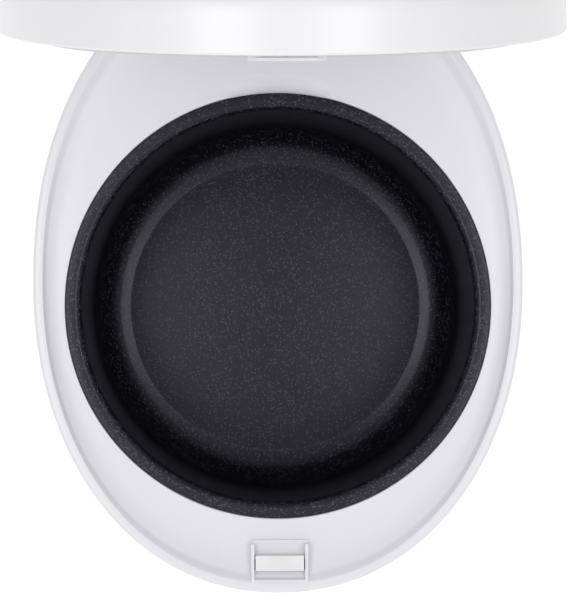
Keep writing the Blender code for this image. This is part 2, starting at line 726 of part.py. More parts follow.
# ---------------------------------------------------------------- latch
def build_latch(body):
    """The pocket in the rim, the hook in it with its pin and spring, and the button that frees it."""
    outer = POCKET_HALF + POCKET_WALL
    slot_rear = -0.1399
    housing = block((-outer, POCKET_FRONT, RIM_Z - 0.0225), (outer, POCKET_REAR, RIM_Z))
    cut(
        housing,
        block((-POCKET_HALF, -0.1472, RIM_Z - 0.03), (POCKET_HALF, slot_rear, RIM_Z + 0.01)),
        block((-POCKET_HALF, -0.1450, POCKET_FLOOR), (POCKET_HALF, -0.1311, RIM_Z + 0.01)),
        block((-POCKET_HALF, -0.1511, RIM_Z - 0.0045), (POCKET_HALF, -0.1450, RIM_Z + 0.01)),
        block((-0.03, -0.1312, RIM_Z - 0.0055), (0.03, -0.120, RIM_Z + 0.01)),
        rod((-0.03, LATCH_Y, LATCH_Z), (0.03, LATCH_Y, LATCH_Z), LATCH_PIN_RADIUS + GAP),
    )
    piece("latch_housing", housing, SHELL_WHITE, body)

    hub = 0.0029
    stem_front, stem_rear = LATCH_Y - 0.0014, LATCH_Y + 0.0020
    nose_half = POCKET_HALF - 2 * GAP
    hook = block((-nose_half, NOSE_FRONT, NOSE_UNDER), (nose_half, NOSE_REAR, NOSE_TOP), 0.0003)
    join(
        hook,
        block((-0.009, stem_front, LATCH_Z), (0.009, stem_rear, NOSE_UNDER + 0.0008)),
        rod((-0.009, LATCH_Y, LATCH_Z), (0.009, LATCH_Y, LATCH_Z), hub),
        block((-0.004, LATCH_Y - 0.0012, LATCH_Z - 0.020), (0.004, LATCH_Y + 0.0014, LATCH_Z)),
    )
    cut(hook, rod((-0.03, LATCH_Y, LATCH_Z), (0.03, LATCH_Y, LATCH_Z), LATCH_PIN_RADIUS + GAP))
    piece("latch_hook", hook, SHELL_WHITE, body, (0, LATCH_Y, LATCH_Z))
    pin = rod((-outer, LATCH_Y, LATCH_Z), (outer, LATCH_Y, LATCH_Z), LATCH_PIN_RADIUS)
    piece("latch_pin", pin, STEEL, body, (0, LATCH_Y, LATCH_Z))
    spring = coil((0.0100, LATCH_Y, LATCH_Z), (1, 0, 0), 0.0023, 0.00035, 0.0032, 3)
    piece("latch_spring", spring, SPRING_STEEL, body, (0, LATCH_Y, LATCH_Z))

    button = front_patch(-RELEASE_PROUD, 0.0050, RELEASE_WIDTH, RELEASE_HEIGHT, 0.006, RELEASE_Z)
    collar = front_patch(0.0034, 0.0050, RELEASE_WIDTH + 0.005, RELEASE_HEIGHT + 0.005, 0.006, RELEASE_Z)
    arm_front = LATCH_Y - 0.0012
    join(
        button,
        collar,
        block(
            (-0.0035, front_y(0, 0.0040), RELEASE_Z - 0.002),
            (0.0035, arm_front - 2 * GAP, RELEASE_Z + 0.002),
        ),
    )
    piece("release_button", button, SHELL_WHITE, body, (0, front_y(0, 0), RELEASE_Z))


# ---------------------------------------------------------------- hinge
def build_hinge(body):
    """Two pins on the hinge line, each with the torsion spring that swings the lid up."""
    for side, name in ((-1, "left"), (1, "right")):
        pin = rod((side * 0.0260, HINGE_Y, HINGE_Z), (side * 0.0558, HINGE_Y, HINGE_Z), PIN_RADIUS)
        join(pin, rod((side * 0.0543, HINGE_Y, HINGE_Z), (side * 0.0560, HINGE_Y, HINGE_Z), 0.0036))
        piece(f"hinge_pin_{name}", pin, STEEL, body, (0, HINGE_Y, HINGE_Z))
        spring = coil((side * 0.0373, HINGE_Y, HINGE_Z), (side, 0, 0), 0.0034, 0.00065, 0.0059, 4)
        piece(f"hinge_spring_{name}", spring, SPRING_STEEL, body, (0, HINGE_Y, HINGE_Z))


# ---------------------------------------------------------------- lid
def build_lid(lid):
    """The domed cover with its hinge barrel, the inner liner, and the catch."""
    z = RIM_Z
    cover = loft([
        plan_scaled(0.08, z + 0.0394),
        plan_scaled(0.50, z + 0.0381),
        plan_scaled(0.70, z + 0.0361),
        plan_scaled(0.83, z + 0.0330),
        plan_scaled(0.91, z + 0.0290),
        plan(0.0055, z + 0.0240, True),
        plan(0.0039, z + 0.0200, True),
        plan(0.0029, z + 0.0060, True),
        plan(0.0029, z + 0.0004, True),
        plan(0.0010, z + 0.0004, True),
        plan(0.0002, z + 0.0012, True),
        plan(0.0012, z + 0.0200, True),
        plan(0.0032, z + 0.0260, True),
        plan_scaled(0.935, z + 0.0315),
        plan_scaled(0.85, z + 0.0356),
        plan_scaled(0.71, z + 0.0386),
        plan_scaled(0.50, z + 0.0406),
        plan_scaled(0.25, z + 0.0417),
        plan_scaled(0.08, z + 0.0419),
    ])
    cut(cover, rod((0, VENT_Y, z + 0.030), (0, VENT_Y, z + 0.060), VENT_RADIUS + GAP, 28))
    join(
        cover,
        block(
            (-BARREL_HALF, 0.1625, HINGE_Z - 0.0068), (BARREL_HALF, HINGE_Y, HINGE_Z + 0.0070)
        ),
        rod((-BARREL_HALF, HINGE_Y, HINGE_Z), (BARREL_HALF, HINGE_Y, HINGE_Z), BARREL_RADIUS, 28),
    )
    for side in (-1, 1):
        cut(cover, rod(
            (side * 0.0250, HINGE_Y, HINGE_Z), (side * 0.0400, HINGE_Y, HINGE_Z),
            PIN_RADIUS + GAP,
        ))
    piece("lid_cover", cover, SHELL_WHITE, lid, (0, HINGE_Y, HINGE_Z))

    liner = loft([
        round_ring(0.1164, z + 0.0020, True),
        round_ring(0.1164, z - 0.0020, True),
        round_ring(0.1184, z - 0.0020, True),
        plan(0.0110, z + 0.0006, True),
        plan(0.0032, z + 0.0006, True),
        plan(0.0032, z + 0.0050, True),
        plan(0.0052, z + 0.0050, True),
        plan(0.0052, z + 0.0028, True),
        plan(0.0110, z + 0.0028, True),
        round_ring(0.1120, z + 0.0042, True),
    ])
    cut(
        liner,
        block((-0.0170, -0.1475, z - 0.01), (0.0170, -0.1200, z + 0.0017)),
        rod((0, VENT_Y, z - 0.01), (0, VENT_Y, z + 0.01), 0.0070 + GAP),
        rod((*LID_SENSOR, z - 0.01), (*LID_SENSOR, z + 0.01), 0.0045 + GAP),
        rod((0, 0, z - 0.01), (0, 0, z + 0.01), 0.0040 + GAP),
    )
    piece("lid_liner", liner, INNER_WHITE, lid, (0, HINGE_Y, HINGE_Z))

    catch = block((-0.0165, -0.1288, z - 0.0042), (0.0165, -0.1212, z + 0.0014))
    join(
        catch,
        block((-0.0128, NOSE_REAR + 0.0005, z - 0.0033), (0.0128, -0.1285, z + 0.0014)),
        block((-0.0128, -0.1394, z - 0.0033), (0.0128, NOSE_REAR + 0.0010, z - 0.0018)),
    )
    piece("lid_catch", catch, SHELL_WHITE, lid, (0, HINGE_Y, HINGE_Z))


def build_inner_lid(lid):
    """The metal plate over the pot with its seal and knob, the vapour sensor and the vent."""
    z = RIM_Z
    plate = turned([
        (0.020, z - 0.0012),
        (0.070, z - 0.0012),
        (0.078, z - 0.0030),
        (LID_PLATE_RADIUS, z - 0.0030),
        (LID_PLATE_RADIUS, z - 0.0040),
        (0.0774, z - 0.0040),
        (0.0694, z - 0.0022),
        (0.020, z - 0.0022),
    ])
    cut(
        plate,
        rod((0, 0, z - 0.01), (0, 0, z + 0.01), 0.0040 + FIT),
        rod((*LID_SENSOR, z - 0.01), (*LID_SENSOR, z + 0.01), 0.0045 + FIT),
        rod((0, VENT_Y, z - 0.01), (0, VENT_Y, z + 0.01), 0.0094 + GAP, 20),
    )
    piece("inner_lid_plate", plate, SHEET_METAL, lid, (0, 0, z))
    seal = turned([
        (LID_PLATE_RADIUS + GAP, z - 0.0014),
        (0.1154, z - 0.0014),
        (0.1154, z - 0.0030),
        (0.1150, z - 0.0076),
        (0.1138, z - 0.0076),
        (0.1124, z - 0.0042),
        (LID_PLATE_RADIUS + GAP, z - 0.0046),
    ], closed=True)
    piece("lid_gasket", seal, SILICONE, lid, (0, 0, z))
    knob = turned([
        (0.0070, z - 0.0062), (0.0085, z - 0.0050), (0.0085, z - 0.0025),
        (0.0040, z - 0.0025), (0.0040, z + 0.0080),
    ], steps=20)
    piece("plate_knob", knob, SILICONE, lid, (0, 0, z))
    sensor = turned(
        [(0.0035, z - 0.0060), (0.0045, z - 0.0050), (0.0045, z + 0.0090)],
        steps=SMALL, centre=LID_SENSOR,
    )
    piece("lid_sensor", sensor, SHEET_METAL, lid, (*LID_SENSOR, z))

    centre = (0.0, VENT_Y)
    cup = turned([
        (0.0068, z - 0.0036),
        (0.0068, z + 0.0240),
        (VENT_RADIUS - 0.0020, z + 0.0240),
        (VENT_RADIUS, z + 0.0260),
        (VENT_RADIUS, z + 0.0400),
        (VENT_RADIUS - 0.0014, z + 0.0400),
        (VENT_RADIUS - 0.0014, z + 0.0258),
        (0.0052, z + 0.0258),
        (0.0052, z - 0.0036),
    ], closed=True, steps=28, centre=centre)
    piece("vent_cup", cup, INNER_WHITE, lid, (*centre, z))
    cap_radius = VENT_RADIUS - 0.0014 - GAP
    cap = turned([
        (cap_radius - 0.0014, z + 0.0290),
        (cap_radius, z + 0.0290),
        (cap_radius, z + 0.0415),
        (cap_radius - 0.0020, z + 0.0428),
        (0.0020, z + 0.0434),
        (0.0020, z + 0.0412),
        (cap_radius - 0.0014, z + 0.0405),
    ], closed=True, steps=28, centre=centre)
    join(cap, rod((*centre, z + 0.0412), (*centre, z + 0.0434), 0.0030))
    for side in (-1, 1):
        for y in (-0.0050, 0.0, 0.0050):
            x = side * 0.0105
            cut(cap, block(
                (x - 0.0045, VENT_Y + y - 0.0008, z + 0.03), (x + 0.0045, VENT_Y + y + 0.0008, z + 0.05)
            ))
    piece("steam_vent_cap", cap, SHELL_WHITE, lid, (*centre, z + 0.0415))
    ring = turned([
        (0.0068 + GAP, z - 0.0044),
        (0.0094, z - 0.0044),
        (0.0094, z - 0.0010),
        (0.0068 + GAP, z - 0.0010),
    ], closed=True, steps=20, centre=centre)
    piece("vent_gasket", ring, SILICONE, lid, (*centre, z))


# ---------------------------------------------------------------- whole
def build_all():
    """Build every piece and stand the lid open."""
    clear_scene()
    body = empty_at("assembly", (0.0, ASSEMBLY_Y, 0.0))
    pot_carrier = empty_at("pot_axis", (0.0, 0.0, 0.0), body)
    lid = empty_at("lid_hinge", (0.0, HINGE_Y, HINGE_Z), body)
    lid.rotation_euler = (-LID_OPEN, 0.0, 0.0)
    build_casing(body)
    build_feet_and_screws(body)
    build_heating(body)
    build_pot(pot_carrier)
    build_boards(body)
    build_panel(body)
    build_latch(body)
    build_hinge(body)
    build_lid(lid)
    build_inner_lid(lid)


build_all()
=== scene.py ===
"""The looks of an oval rice cooker with its lid open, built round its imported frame."""

import json
from math import copysign, cos, hypot, pi, radians, sin, sqrt

import bmesh
import bpy
from mathutils import Matrix, Vector


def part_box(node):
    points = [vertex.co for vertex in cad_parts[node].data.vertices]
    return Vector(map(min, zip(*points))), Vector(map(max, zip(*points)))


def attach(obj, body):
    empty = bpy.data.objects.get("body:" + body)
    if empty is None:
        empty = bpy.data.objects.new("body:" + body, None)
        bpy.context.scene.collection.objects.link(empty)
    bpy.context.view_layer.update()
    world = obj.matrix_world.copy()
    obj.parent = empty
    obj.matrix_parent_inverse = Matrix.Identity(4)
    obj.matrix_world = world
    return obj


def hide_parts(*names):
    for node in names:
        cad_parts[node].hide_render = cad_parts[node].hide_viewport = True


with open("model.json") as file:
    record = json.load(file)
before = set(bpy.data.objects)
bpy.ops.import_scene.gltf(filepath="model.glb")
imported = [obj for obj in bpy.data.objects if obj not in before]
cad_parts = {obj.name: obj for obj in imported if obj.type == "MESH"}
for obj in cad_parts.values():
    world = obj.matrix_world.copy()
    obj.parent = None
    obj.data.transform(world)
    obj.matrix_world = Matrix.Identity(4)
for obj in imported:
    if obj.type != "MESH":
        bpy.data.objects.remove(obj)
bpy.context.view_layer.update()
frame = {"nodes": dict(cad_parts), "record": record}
scene = bpy.context.scene

# ---- what the frame says
JOINTS = {joint["name"]: joint for joint in frame["record"]["behaviour"]["joints"]}
NODE_SLOT = {row["node"]: row["material_slot"] for row in frame["record"]["subparts"]}
NODE_BODY = {
    node: body
    for body, nodes in frame["record"]["behaviour"]["bodies"].items()
    for node in nodes
}
POT_LOW, POT_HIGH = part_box("inner_pot")
AXIS_Y = (POT_LOW.y + POT_HIGH.y) / 2
RIM_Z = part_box("latch_housing")[1].z
FLANGE_Z = POT_HIGH.z
HINGE = Vector(JOINTS["lid_hinge"]["pos_m"])
HINGE_Y = HINGE.y - AXIS_Y
HINGE_Z = HINGE.z
HINGE_LINE = (HINGE_Y, HINGE_Z)
LID_OPEN = radians(-JOINTS["lid_hinge"]["range_deg"][0])

# ---- sizes, from the pot's axis
HALF_WIDTH = 0.135
WIDEST_Y = 0.0139
FRONT_LENGTH = 0.1722
REAR_LENGTH = 0.1815
PLAN_POWER = 2.12
LID_REAR_LENGTH = 0.1506
LID_REAR_POWER = 2.55
BAND = 0.014
TRAY_EDGE = 0.0054          # from the outer edge to where the tray falls away
TRAY_SPAN = 0.020           # length in a section that stands for the whole tray
POT_EDGE = 0.1182           # radius where the tray ends round the pot
HOLE_RADIUS = 0.1128
BARREL_RADIUS = 0.0074
BARREL_HALF = 0.036
EAR_RADIUS = 0.0070
EAR_IN = 0.044
EAR_WIDTH = 0.010
HINGE_PIN = 0.0020
HINGE_HOLE = 0.0023
LID_PLATE = 0.104
CAP_SLOT_X = 0.0105
VENT_Y = 0.060
VENT_CENTRE = (0.0, VENT_Y)
VENT_RADIUS = 0.0227
LID_SENSOR = (0.040, -0.035)
PANEL_SIZE = (0.092, 0.070)
PANEL_Z = 0.105
WINDOW_SIZE = (0.046, 0.026)
WINDOW_Z = 0.121
BUTTON_Z = 0.088
BUTTON_RADIUS = 0.0052
BUTTONS = {
    "menu_button": -0.021,
    "timer_button": -0.007,
    "keep_warm_button": 0.007,
    "start_button": 0.021,
}
RELEASE_SIZE = (0.044, 0.018)
RELEASE_Z = RIM_Z - 0.036
FRONT_CUT = (-0.20, -0.10)  # how far cutters reach through the front wall
POCKET_WALL = 0.00175
SHELF_REAR = -0.1458        # the shelf in front of the hook ends here
SLOT_REAR = -0.1399         # rear of the slot that the hook stands in
LATCH_Y = -0.1432
LATCH_Z = RIM_Z - 0.018
LATCH_LINE = (LATCH_Y, LATCH_Z)
LATCH_PIN_RADIUS = 0.0015
GAP = 0.0003

POT = 0.1085                # inside radius of the pot
POT_WALL = 0.0020
POT_FLOOR = FLANGE_Z - 0.135
CORNER = POT - 0.085
POT_CROWN = 0.0022          # rise of the floor towards its middle
POT_FLOOR_EDGE = 0.0872     # ring where the floor meets the sloping band round it
POT_RING_EDGE = 0.0938      # ring where that band meets the corner
POT_RING_RISE = 0.0012

RING = 176                  # points round the oval pieces
TURN = 144                  # points round the large round pieces
SMALL = 48                  # points round the small round pieces

HOME = Matrix.Translation((0.0, AXIS_Y, 0.0))
LID_HOME = (
    Matrix.Translation(HINGE)
    @ Matrix.Rotation(-LID_OPEN, 4, "X")
    @ Matrix.Translation((0.0, -HINGE_Y, -HINGE_Z))
)


# ---- materials
class Signal:
    """One output of a finish's nodes. Arithmetic on it adds Math nodes."""

    def __init__(self, finish, socket):
        self.finish = finish
        self.socket = socket

    def math(self, operation, *values):
        return self.finish.node("ShaderNodeMath", {"operation": operation}, dict(enumerate(values)))

    def __add__(self, other):
        return self.math("ADD", self, other)

    def __sub__(self, other):
        return self.math("SUBTRACT", self, other)

    def __rsub__(self, other):
        return self.math("SUBTRACT", other, self)

    def __mul__(self, other):
        return self.math("MULTIPLY", self, other)

    __radd__ = __add__
    __rmul__ = __mul__

    def over(self, edge, softness):
        """0 below an edge and 1 above it, over a softness."""
        return self.finish.node(
            "ShaderNodeMapRange",
            {"interpolation_type": "SMOOTHSTEP"},
            {"Value": self, "From Min": edge - softness, "From Max": edge + softness},
        )


class Finish:
    """A material and what adds nodes to it."""

    def __init__(self, name):
        self.material = bpy.data.materials.new(name)
        self.material.use_nodes = True
        self.nodes = self.material.node_tree.nodes
        self.shader = self.nodes["Principled BSDF"]
        self.place = self.node("ShaderNodeTexCoord", {}, {}, "Object")

    def node(self, kind, settings, sockets, out=0):
        made = self.nodes.new(kind)
        stops = settings.pop("stops", None)
        for name, value in settings.items():
            setattr(made, name, value)
        if stops:
            ramp = made.color_ramp
            while len(ramp.elements) < len(stops):
                ramp.elements.new(0.5)
            for element, (position, colour) in zip(ramp.elements, stops):
                element.position = position
                element.color = (*colour, 1.0)
        for key, value in sockets.items():
            self.feed(made.inputs[key], value)
        return Signal(self, made.outputs[out])

    def feed(self, socket, value):
        if isinstance(value, Signal):
            self.material.node_tree.links.new(value.socket, socket)
        elif socket.type == "RGBA" and len(value) == 3:
            socket.default_value = (*value, 1.0)
        else:
            socket.default_value = value

    def noise(self, scale, detail=2.0, rough=0.5, stretch=None):
        """Noise from 0 to 1 on the piece's own coordinates, stretched along an axis if asked."""
        place = self.place
        if stretch:
            place = self.node("ShaderNodeMapping", {}, {"Vector": place, "Scale": stretch})
        return self.node(
            "ShaderNodeTexNoise", {},
            {"Vector": place, "Scale": scale, "Detail": detail, "Roughness": rough},
        )

    def cells(self, scale, out="Distance"):
        return self.node("ShaderNodeTexVoronoi", {}, {"Vector": self.place, "Scale": scale}, out)

    def part(self, axis):
        """One coordinate of the place on the piece."""
        return self.node("ShaderNodeSeparateXYZ", {}, {"Vector": self.place}, axis)

    def radius(self, centre):
        """The level distance from a vertical line."""
        away = self.node(
            "ShaderNodeVectorMath", {"operation": "SUBTRACT"},
            {0: self.place, 1: (*centre, 0.0)},
        )
        level = self.node("ShaderNodeVectorMath", {"operation": "MULTIPLY"}, {0: away, 1: (1.0, 1.0, 0.0)})
        return self.node("ShaderNodeVectorMath", {"operation": "LENGTH"}, {0: level}, "Value")

    def mixed(self, factor, one, other):
        """A colour between two, by a factor."""
        return self.node(
            "ShaderNodeMix", {"data_type": "RGBA"}, {"Factor": factor, 6: one, 7: other}, 2
        )

    def bumps(self, height, distance, strength=1.0):
        return self.node(
            "ShaderNodeBump", {}, {"Height": height, "Distance": distance, "Strength": strength}
        )

    def surface(self, **sockets):
        """Set the shader's sockets, named with underscores, and return the material."""
        for name, value in sockets.items():
            self.feed(self.shader.inputs[name.replace("_", " ")], value)
        return self.material


def gloss_white(name):
    """Moulded gloss plastic with a faint cloudiness and the orange peel of its mould."""
    f = Finish(name)
    cloud = f.noise(14.0, 3.0)
    peel = f.noise(1500.0, 1.0)
    scuff = f.noise(160.0, 4.0, 0.65).over(0.62, 0.10)
    colour = (0.80, 0.80, 0.815)
    warm = tuple(c * k for c, k in zip(colour, (1.012, 1.006, 0.988)))
    return f.surface(
        Base_Color=f.mixed(cloud.over(0.5, 0.3), colour, warm),
        Roughness=cloud * 0.05 + scuff * 0.04 + 0.28,
        Normal=f.bumps(peel, 0.000012, 0.6),
        IOR=1.49,
        Coat_Weight=0.08,
        Coat_Roughness=0.22,
    )


def frame_white(name):
    """Gloss on the rim, and a finer satin on the tray inside it."""
    f = Finish(name)
    cloud = f.noise(14.0, 3.0)
    grain = f.noise(2600.0, 2.0)
    peel = f.noise(1500.0, 1.0)
    level = f.part("Z")
    inside = 1 - level.over(RIM_Z - 0.0028, 0.0006)
    inside = inside * f.radius((0.0, AXIS_Y)).over(HOLE_RADIUS, 0.001)
    height = peel * 0.5 + grain * inside
    return f.surface(
        Base_Color=f.mixed(cloud.over(0.5, 0.3), (0.80, 0.79, 0.835), (0.805, 0.795, 0.828)),
        Roughness=cloud * 0.05 + inside * 0.10 + 0.26,
        Normal=f.bumps(height, 0.000012, 0.6),
        IOR=1.49,
        Coat_Weight=0.06,
        Coat_Roughness=0.22,
    )


def satin_white(name):
    """Moulded plastic with a fine spark-eroded texture."""
    f = Finish(name)
    grain = f.noise(2200.0, 3.0, 0.7)
    cloud = f.noise(22.0, 2.0)
    colour = (0.74, 0.74, 0.76)
    darker = tuple(c * 0.955 for c in colour)
    return f.surface(
        Base_Color=f.mixed(cloud * 0.5 + grain * 0.35, colour, darker),
        Roughness=grain * 0.16 + 0.34,
        Normal=f.bumps(grain, 0.00003, 0.7),
        IOR=1.49,
    )


def grey_film(name):
    """The printed film over the control panel, with a fine satin grain."""
    f = Finish(name)
    grain = f.noise(3600.0, 2.0, 0.7)
    fleck = f.cells(2600.0).over(0.16, 0.05)
    cloud = f.noise(30.0, 2.0)
    return f.surface(
        Base_Color=f.mixed(cloud * 0.4 + (1 - fleck) * 0.35, (0.40, 0.41, 0.43), (0.52, 0.53, 0.55)),
        Roughness=grain * 0.12 + 0.26,
        Metallic=0.25,
        Normal=f.bumps(grain, 0.000012, 0.6),
        Coat_Weight=0.2,
        Coat_Roughness=0.2,
    )


def smoked_window(name):
    """A smoked gloss window, faintly uneven, with a few wipe marks."""
    f = Finish(name)
    wipe = f.noise(60.0, 4.0, 0.6, (1.0, 1.0, 5.0)).over(0.6, 0.15)
    return f.surface(
        Base_Color=f.mixed(f.noise(40.0), (0.008, 0.009, 0.011), (0.014, 0.015, 0.018)),
        Roughness=wipe * 0.06 + 0.04,
        Normal=f.bumps(f.noise(90.0), 0.00002, 0.3),
        Coat_Weight=0.6,
        Coat_Roughness=0.03,
    )


def non_stick(name):
    """Charcoal coating with blue-grey flecks and a fine orange peel."""
    f = Finish(name)
    peel = f.noise(1500.0, 3.0, 0.65)
    coarse = f.noise(620.0, 2.0, 0.6)
    cloud = f.noise(26.0, 3.0)
    chips = f.cells(900.0, out="Color")
    share = f.node("ShaderNodeSeparateColor", {}, {"Color": chips}, "Red")
    fleck = share.over(0.72, 0.10) * (1 - f.cells(900.0).over(0.42, 0.14))
    dark = f.mixed(cloud, (0.0036, 0.0036, 0.0050), (0.0056, 0.0056, 0.0076))
    speckled = f.mixed(coarse.over(0.55, 0.16) * 0.6, dark, (0.015, 0.015, 0.020))
    return f.surface(
        Base_Color=f.mixed(fleck, speckled, (0.060, 0.061, 0.080)),
        Roughness=peel * 0.16 + cloud * 0.05 + 0.20,
        Normal=f.bumps(peel * 0.7 + coarse * 0.6 + fleck * 0.4, 0.000055, 0.8),
        IOR=1.40,
        Specular_Tint=(0.90, 0.90, 1.0),
    )


def spun_metal(name, colour, rough, centre, groove=2600.0, depth=0.00001):
    """Sheet metal with the fine rings of its spinning or turning."""
    f = Finish(name)
    radius = f.radius(centre)
    level = f.part("Z")
    rings = f.node(
        "ShaderNodeTexNoise", {"noise_dimensions": "1D"},
        {"W": radius + level * 0.7, "Scale": groove, "Detail": 3.0, "Roughness": 0.7},
    )
    cloud = f.noise(18.0, 3.0)
    stain = f.noise(70.0, 4.0, 0.7).over(0.63, 0.12)
    darker = tuple(c * 0.86 for c in colour)
    return f.surface(
        Base_Color=f.mixed(rings * 0.5 + stain * 0.3, colour, darker),
        Roughness=rings * 0.14 + cloud * 0.08 + stain * 0.10 + (rough - 0.10),
        Metallic=1.0,
        Normal=f.bumps(rings, depth, 0.7),
    )


def plated_steel(name, colour, rough, stretch=None):
    """Drawn or plated steel with fine lines and a few dull spots."""
    f = Finish(name)
    lines = f.noise(1800.0, 3.0, 0.7, stretch)
    spots = f.noise(420.0, 3.0, 0.6).over(0.64, 0.08)
    darker = tuple(c * 0.75 for c in colour)
    return f.surface(
        Base_Color=f.mixed(spots * 0.7 + lines * 0.2, colour, darker),
        Roughness=lines * 0.16 + spots * 0.12 + (rough - 0.08),
        Metallic=1.0,
        Normal=f.bumps(lines, 0.00001, 0.6),
    )


def soft_rubber(name, colour, rough, clear=0.0):
    """Rubber or silicone with a fine bloom and moulded grain."""
    f = Finish(name)
    grain = f.noise(1700.0, 3.0, 0.7)
    bloom = f.noise(75.0, 4.0, 0.6).over(0.5, 0.25)
    paler = tuple(c * 0.92 + 0.03 for c in colour)
    return f.surface(
        Base_Color=f.mixed(bloom * 0.7 + grain * 0.2, colour, paler),
        Roughness=grain * 0.14 + bloom * 0.10 + (rough - 0.12),
        Normal=f.bumps(grain, 0.00002, 0.7),
        Subsurface_Weight=clear,
        Subsurface_Radius=(0.004, 0.004, 0.004),
        Subsurface_Scale=0.5,
    )


def circuit_board(name):
    """Green solder mask over faint copper tracks."""
    f = Finish(name)
    tracks = f.node(
        "ShaderNodeTexBrick", {"offset": 0.5},
        {"Vector": f.place, "Scale": 160.0, "Mortar Size": 0.09, "Mortar Smooth": 0.3}, "Fac",
    )
    grain = f.noise(900.0)
    return f.surface(
        Base_Color=f.mixed(tracks, (0.02, 0.13, 0.055), (0.05, 0.26, 0.10)),
        Roughness=grain * 0.15 + 0.30,
        Normal=f.bumps(tracks, 0.00003, 0.6),
    )


def moulded_part(name, colour, rough=0.45):
    """A moulded housing of a bought-in part."""
    f = Finish(name)
    grain = f.noise(2400.0, 3.0, 0.7)
    cloud = f.noise(60.0, 3.0)
    paler = tuple(min(1.0, c * 1.5 + 0.012) for c in colour)
    return f.surface(
        Base_Color=f.mixed(cloud * 0.5 + grain * 0.3, colour, paler),
        Roughness=grain * 0.15 + (rough - 0.07),
        Normal=f.bumps(grain, 0.00002, 0.7),
    )


def mica_band(name):
    """Mica sheet: thin layers with a dull glitter."""
    f = Finish(name)
    layers = f.noise(240.0, 4.0, 0.7, (1.0, 1.0, 4.0))
    glitter = f.cells(1100.0).over(0.12, 0.05)
    return f.surface(
        Base_Color=f.mixed(layers, (0.27, 0.21, 0.14), (0.47, 0.40, 0.31)),
        Roughness=layers * 0.25 + 0.45,
        Metallic=(1 - glitter) * 0.5,
        Normal=f.bumps(layers, 0.00005, 0.7),
    )


def display_cell(name):
    """The grey-green cell of the display."""
    f = Finish(name)
    dots = f.cells(1500.0)
    return f.surface(
        Base_Color=f.mixed(dots, (0.27, 0.31, 0.27), (0.34, 0.38, 0.33)),
        Roughness=f.noise(300.0) * 0.1 + 0.14,
        Coat_Weight=0.5,
    )


POT_CENTRE = (0.0, AXIS_Y)
FINISHES = {
    "shell_white": gloss_white("shell_white"),
    "inner_white": satin_white("inner_white"),
    "panel_grey": grey_film("panel_grey"),
    "window_black": smoked_window("window_black"),
    "non_stick": non_stick("non_stick"),
    "sheet_metal": spun_metal("sheet_metal", (0.66, 0.66, 0.67), 0.32, POT_CENTRE),
    "cast_metal": spun_metal("cast_metal", (0.52, 0.52, 0.53), 0.42, POT_CENTRE, 900.0, 0.00006),
    "bracket_steel": plated_steel("bracket_steel", (0.45, 0.45, 0.46), 0.32),
    "screw_steel": plated_steel("screw_steel", (0.50, 0.50, 0.51), 0.28),
    "spring_steel": plated_steel("spring_steel", (0.36, 0.36, 0.37), 0.30),
    "pin_brass": plated_steel("pin_brass", (0.72, 0.53, 0.26), 0.28),
    "silicone": soft_rubber("silicone", (0.66, 0.66, 0.67), 0.52, 0.35),
    "foot_rubber": soft_rubber("foot_rubber", (0.035, 0.035, 0.036), 0.80),
    "board_green": circuit_board("board_green"),
    "part_black": moulded_part("part_black", (0.02, 0.02, 0.021)),
    "part_blue": moulded_part("part_blue", (0.03, 0.09, 0.28)),
    "lcd_grey": display_cell("lcd_grey"),
    "heater_mica": mica_band("heater_mica"),
}
TRAY_WHITE = frame_white("frame_white")


# ---- solids
def solid_from(bm, recalculate=True):
    """An object that holds a shape, its faces pointing outwards."""
    bmesh.ops.remove_doubles(bm, verts=bm.verts, dist=0.000002)
    if recalculate:
        bmesh.ops.recalc_face_normals(bm, faces=bm.faces)
    mesh = bpy.data.meshes.new("solid")
    bm.to_mesh(mesh)
    bm.free()
    solid = bpy.data.objects.new("solid", mesh)
    scene.collection.objects.link(solid)
    return solid


def combined(solid, tool, operation):
    """One solid cut by, joined with or limited to another."""
    modifier = solid.modifiers.new("combine", "BOOLEAN")
    modifier.operation = operation
    modifier.solver = "EXACT"
    modifier.object = tool
    graph = bpy.context.evaluated_depsgraph_get()
    mesh = bpy.data.meshes.new_from_object(solid.evaluated_get(graph))
    solid.modifiers.clear()
    solid.data = mesh
    bpy.data.objects.remove(tool)
    return solid


def cut(solid, *tools):
    for tool in tools:
        combined(solid, tool, "DIFFERENCE")
    return solid


def join(solid, *others):
    for other in others:
        combined(solid, other, "UNION")
    return solid


def finished(solid, nodes, home=HOME, finish=None, angle=32.0, name=None):
    """Set a solid in place of its nodes, with their finish, on their body."""
    node = nodes if isinstance(nodes, str) else nodes[0]
    solid.name = name or "look_" + node
    solid.data.name = solid.name
    solid.data.transform(home)
    solid.data.shade_smooth()
    solid.data.set_sharp_from_angle(angle=radians(angle))
    solid.data.materials.clear()
    solid.data.materials.append(finish or FINISHES[NODE_SLOT[node]])
    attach(solid, NODE_BODY[node])
    if name is None:
        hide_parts(*([nodes] if isinstance(nodes, str) else nodes))
    return solid


def eased(points, closed=True, steps=4):
    """A section of (across, up, reach) points with an arc at each corner that starts its reach before it."""
    out = []
    count = len(points)
    for i, (across, up, reach) in enumerate(points):
        corner = Vector((across, up))
        if not reach or (not closed and i in (0, count - 1)):
            out.append((across, up))
            continue
        ways = [Vector(points[k % count][:2]) - corner for k in (i - 1, i + 1)]
        reach = min(reach, *(way.length * 0.49 for way in ways))
        one, other = (way.normalized() for way in ways)
        half = one.angle(other) / 2
        if half > radians(89.0) or half < radians(3.0):
            out.append((across, up))
            continue
        centre = corner + (one + other).normalized() * (reach / cos(half))
        start = corner + one * reach - centre
        end = corner + other * reach - centre
        sweep = start.angle_signed(end)
        for k in range(steps + 1):
            turn = -sweep * k / steps
            c, s = cos(turn), sin(turn)
            out.append((
                centre.x + start.x * c - start.y * s,
                centre.y + start.x * s + start.y * c,
            ))
    return out


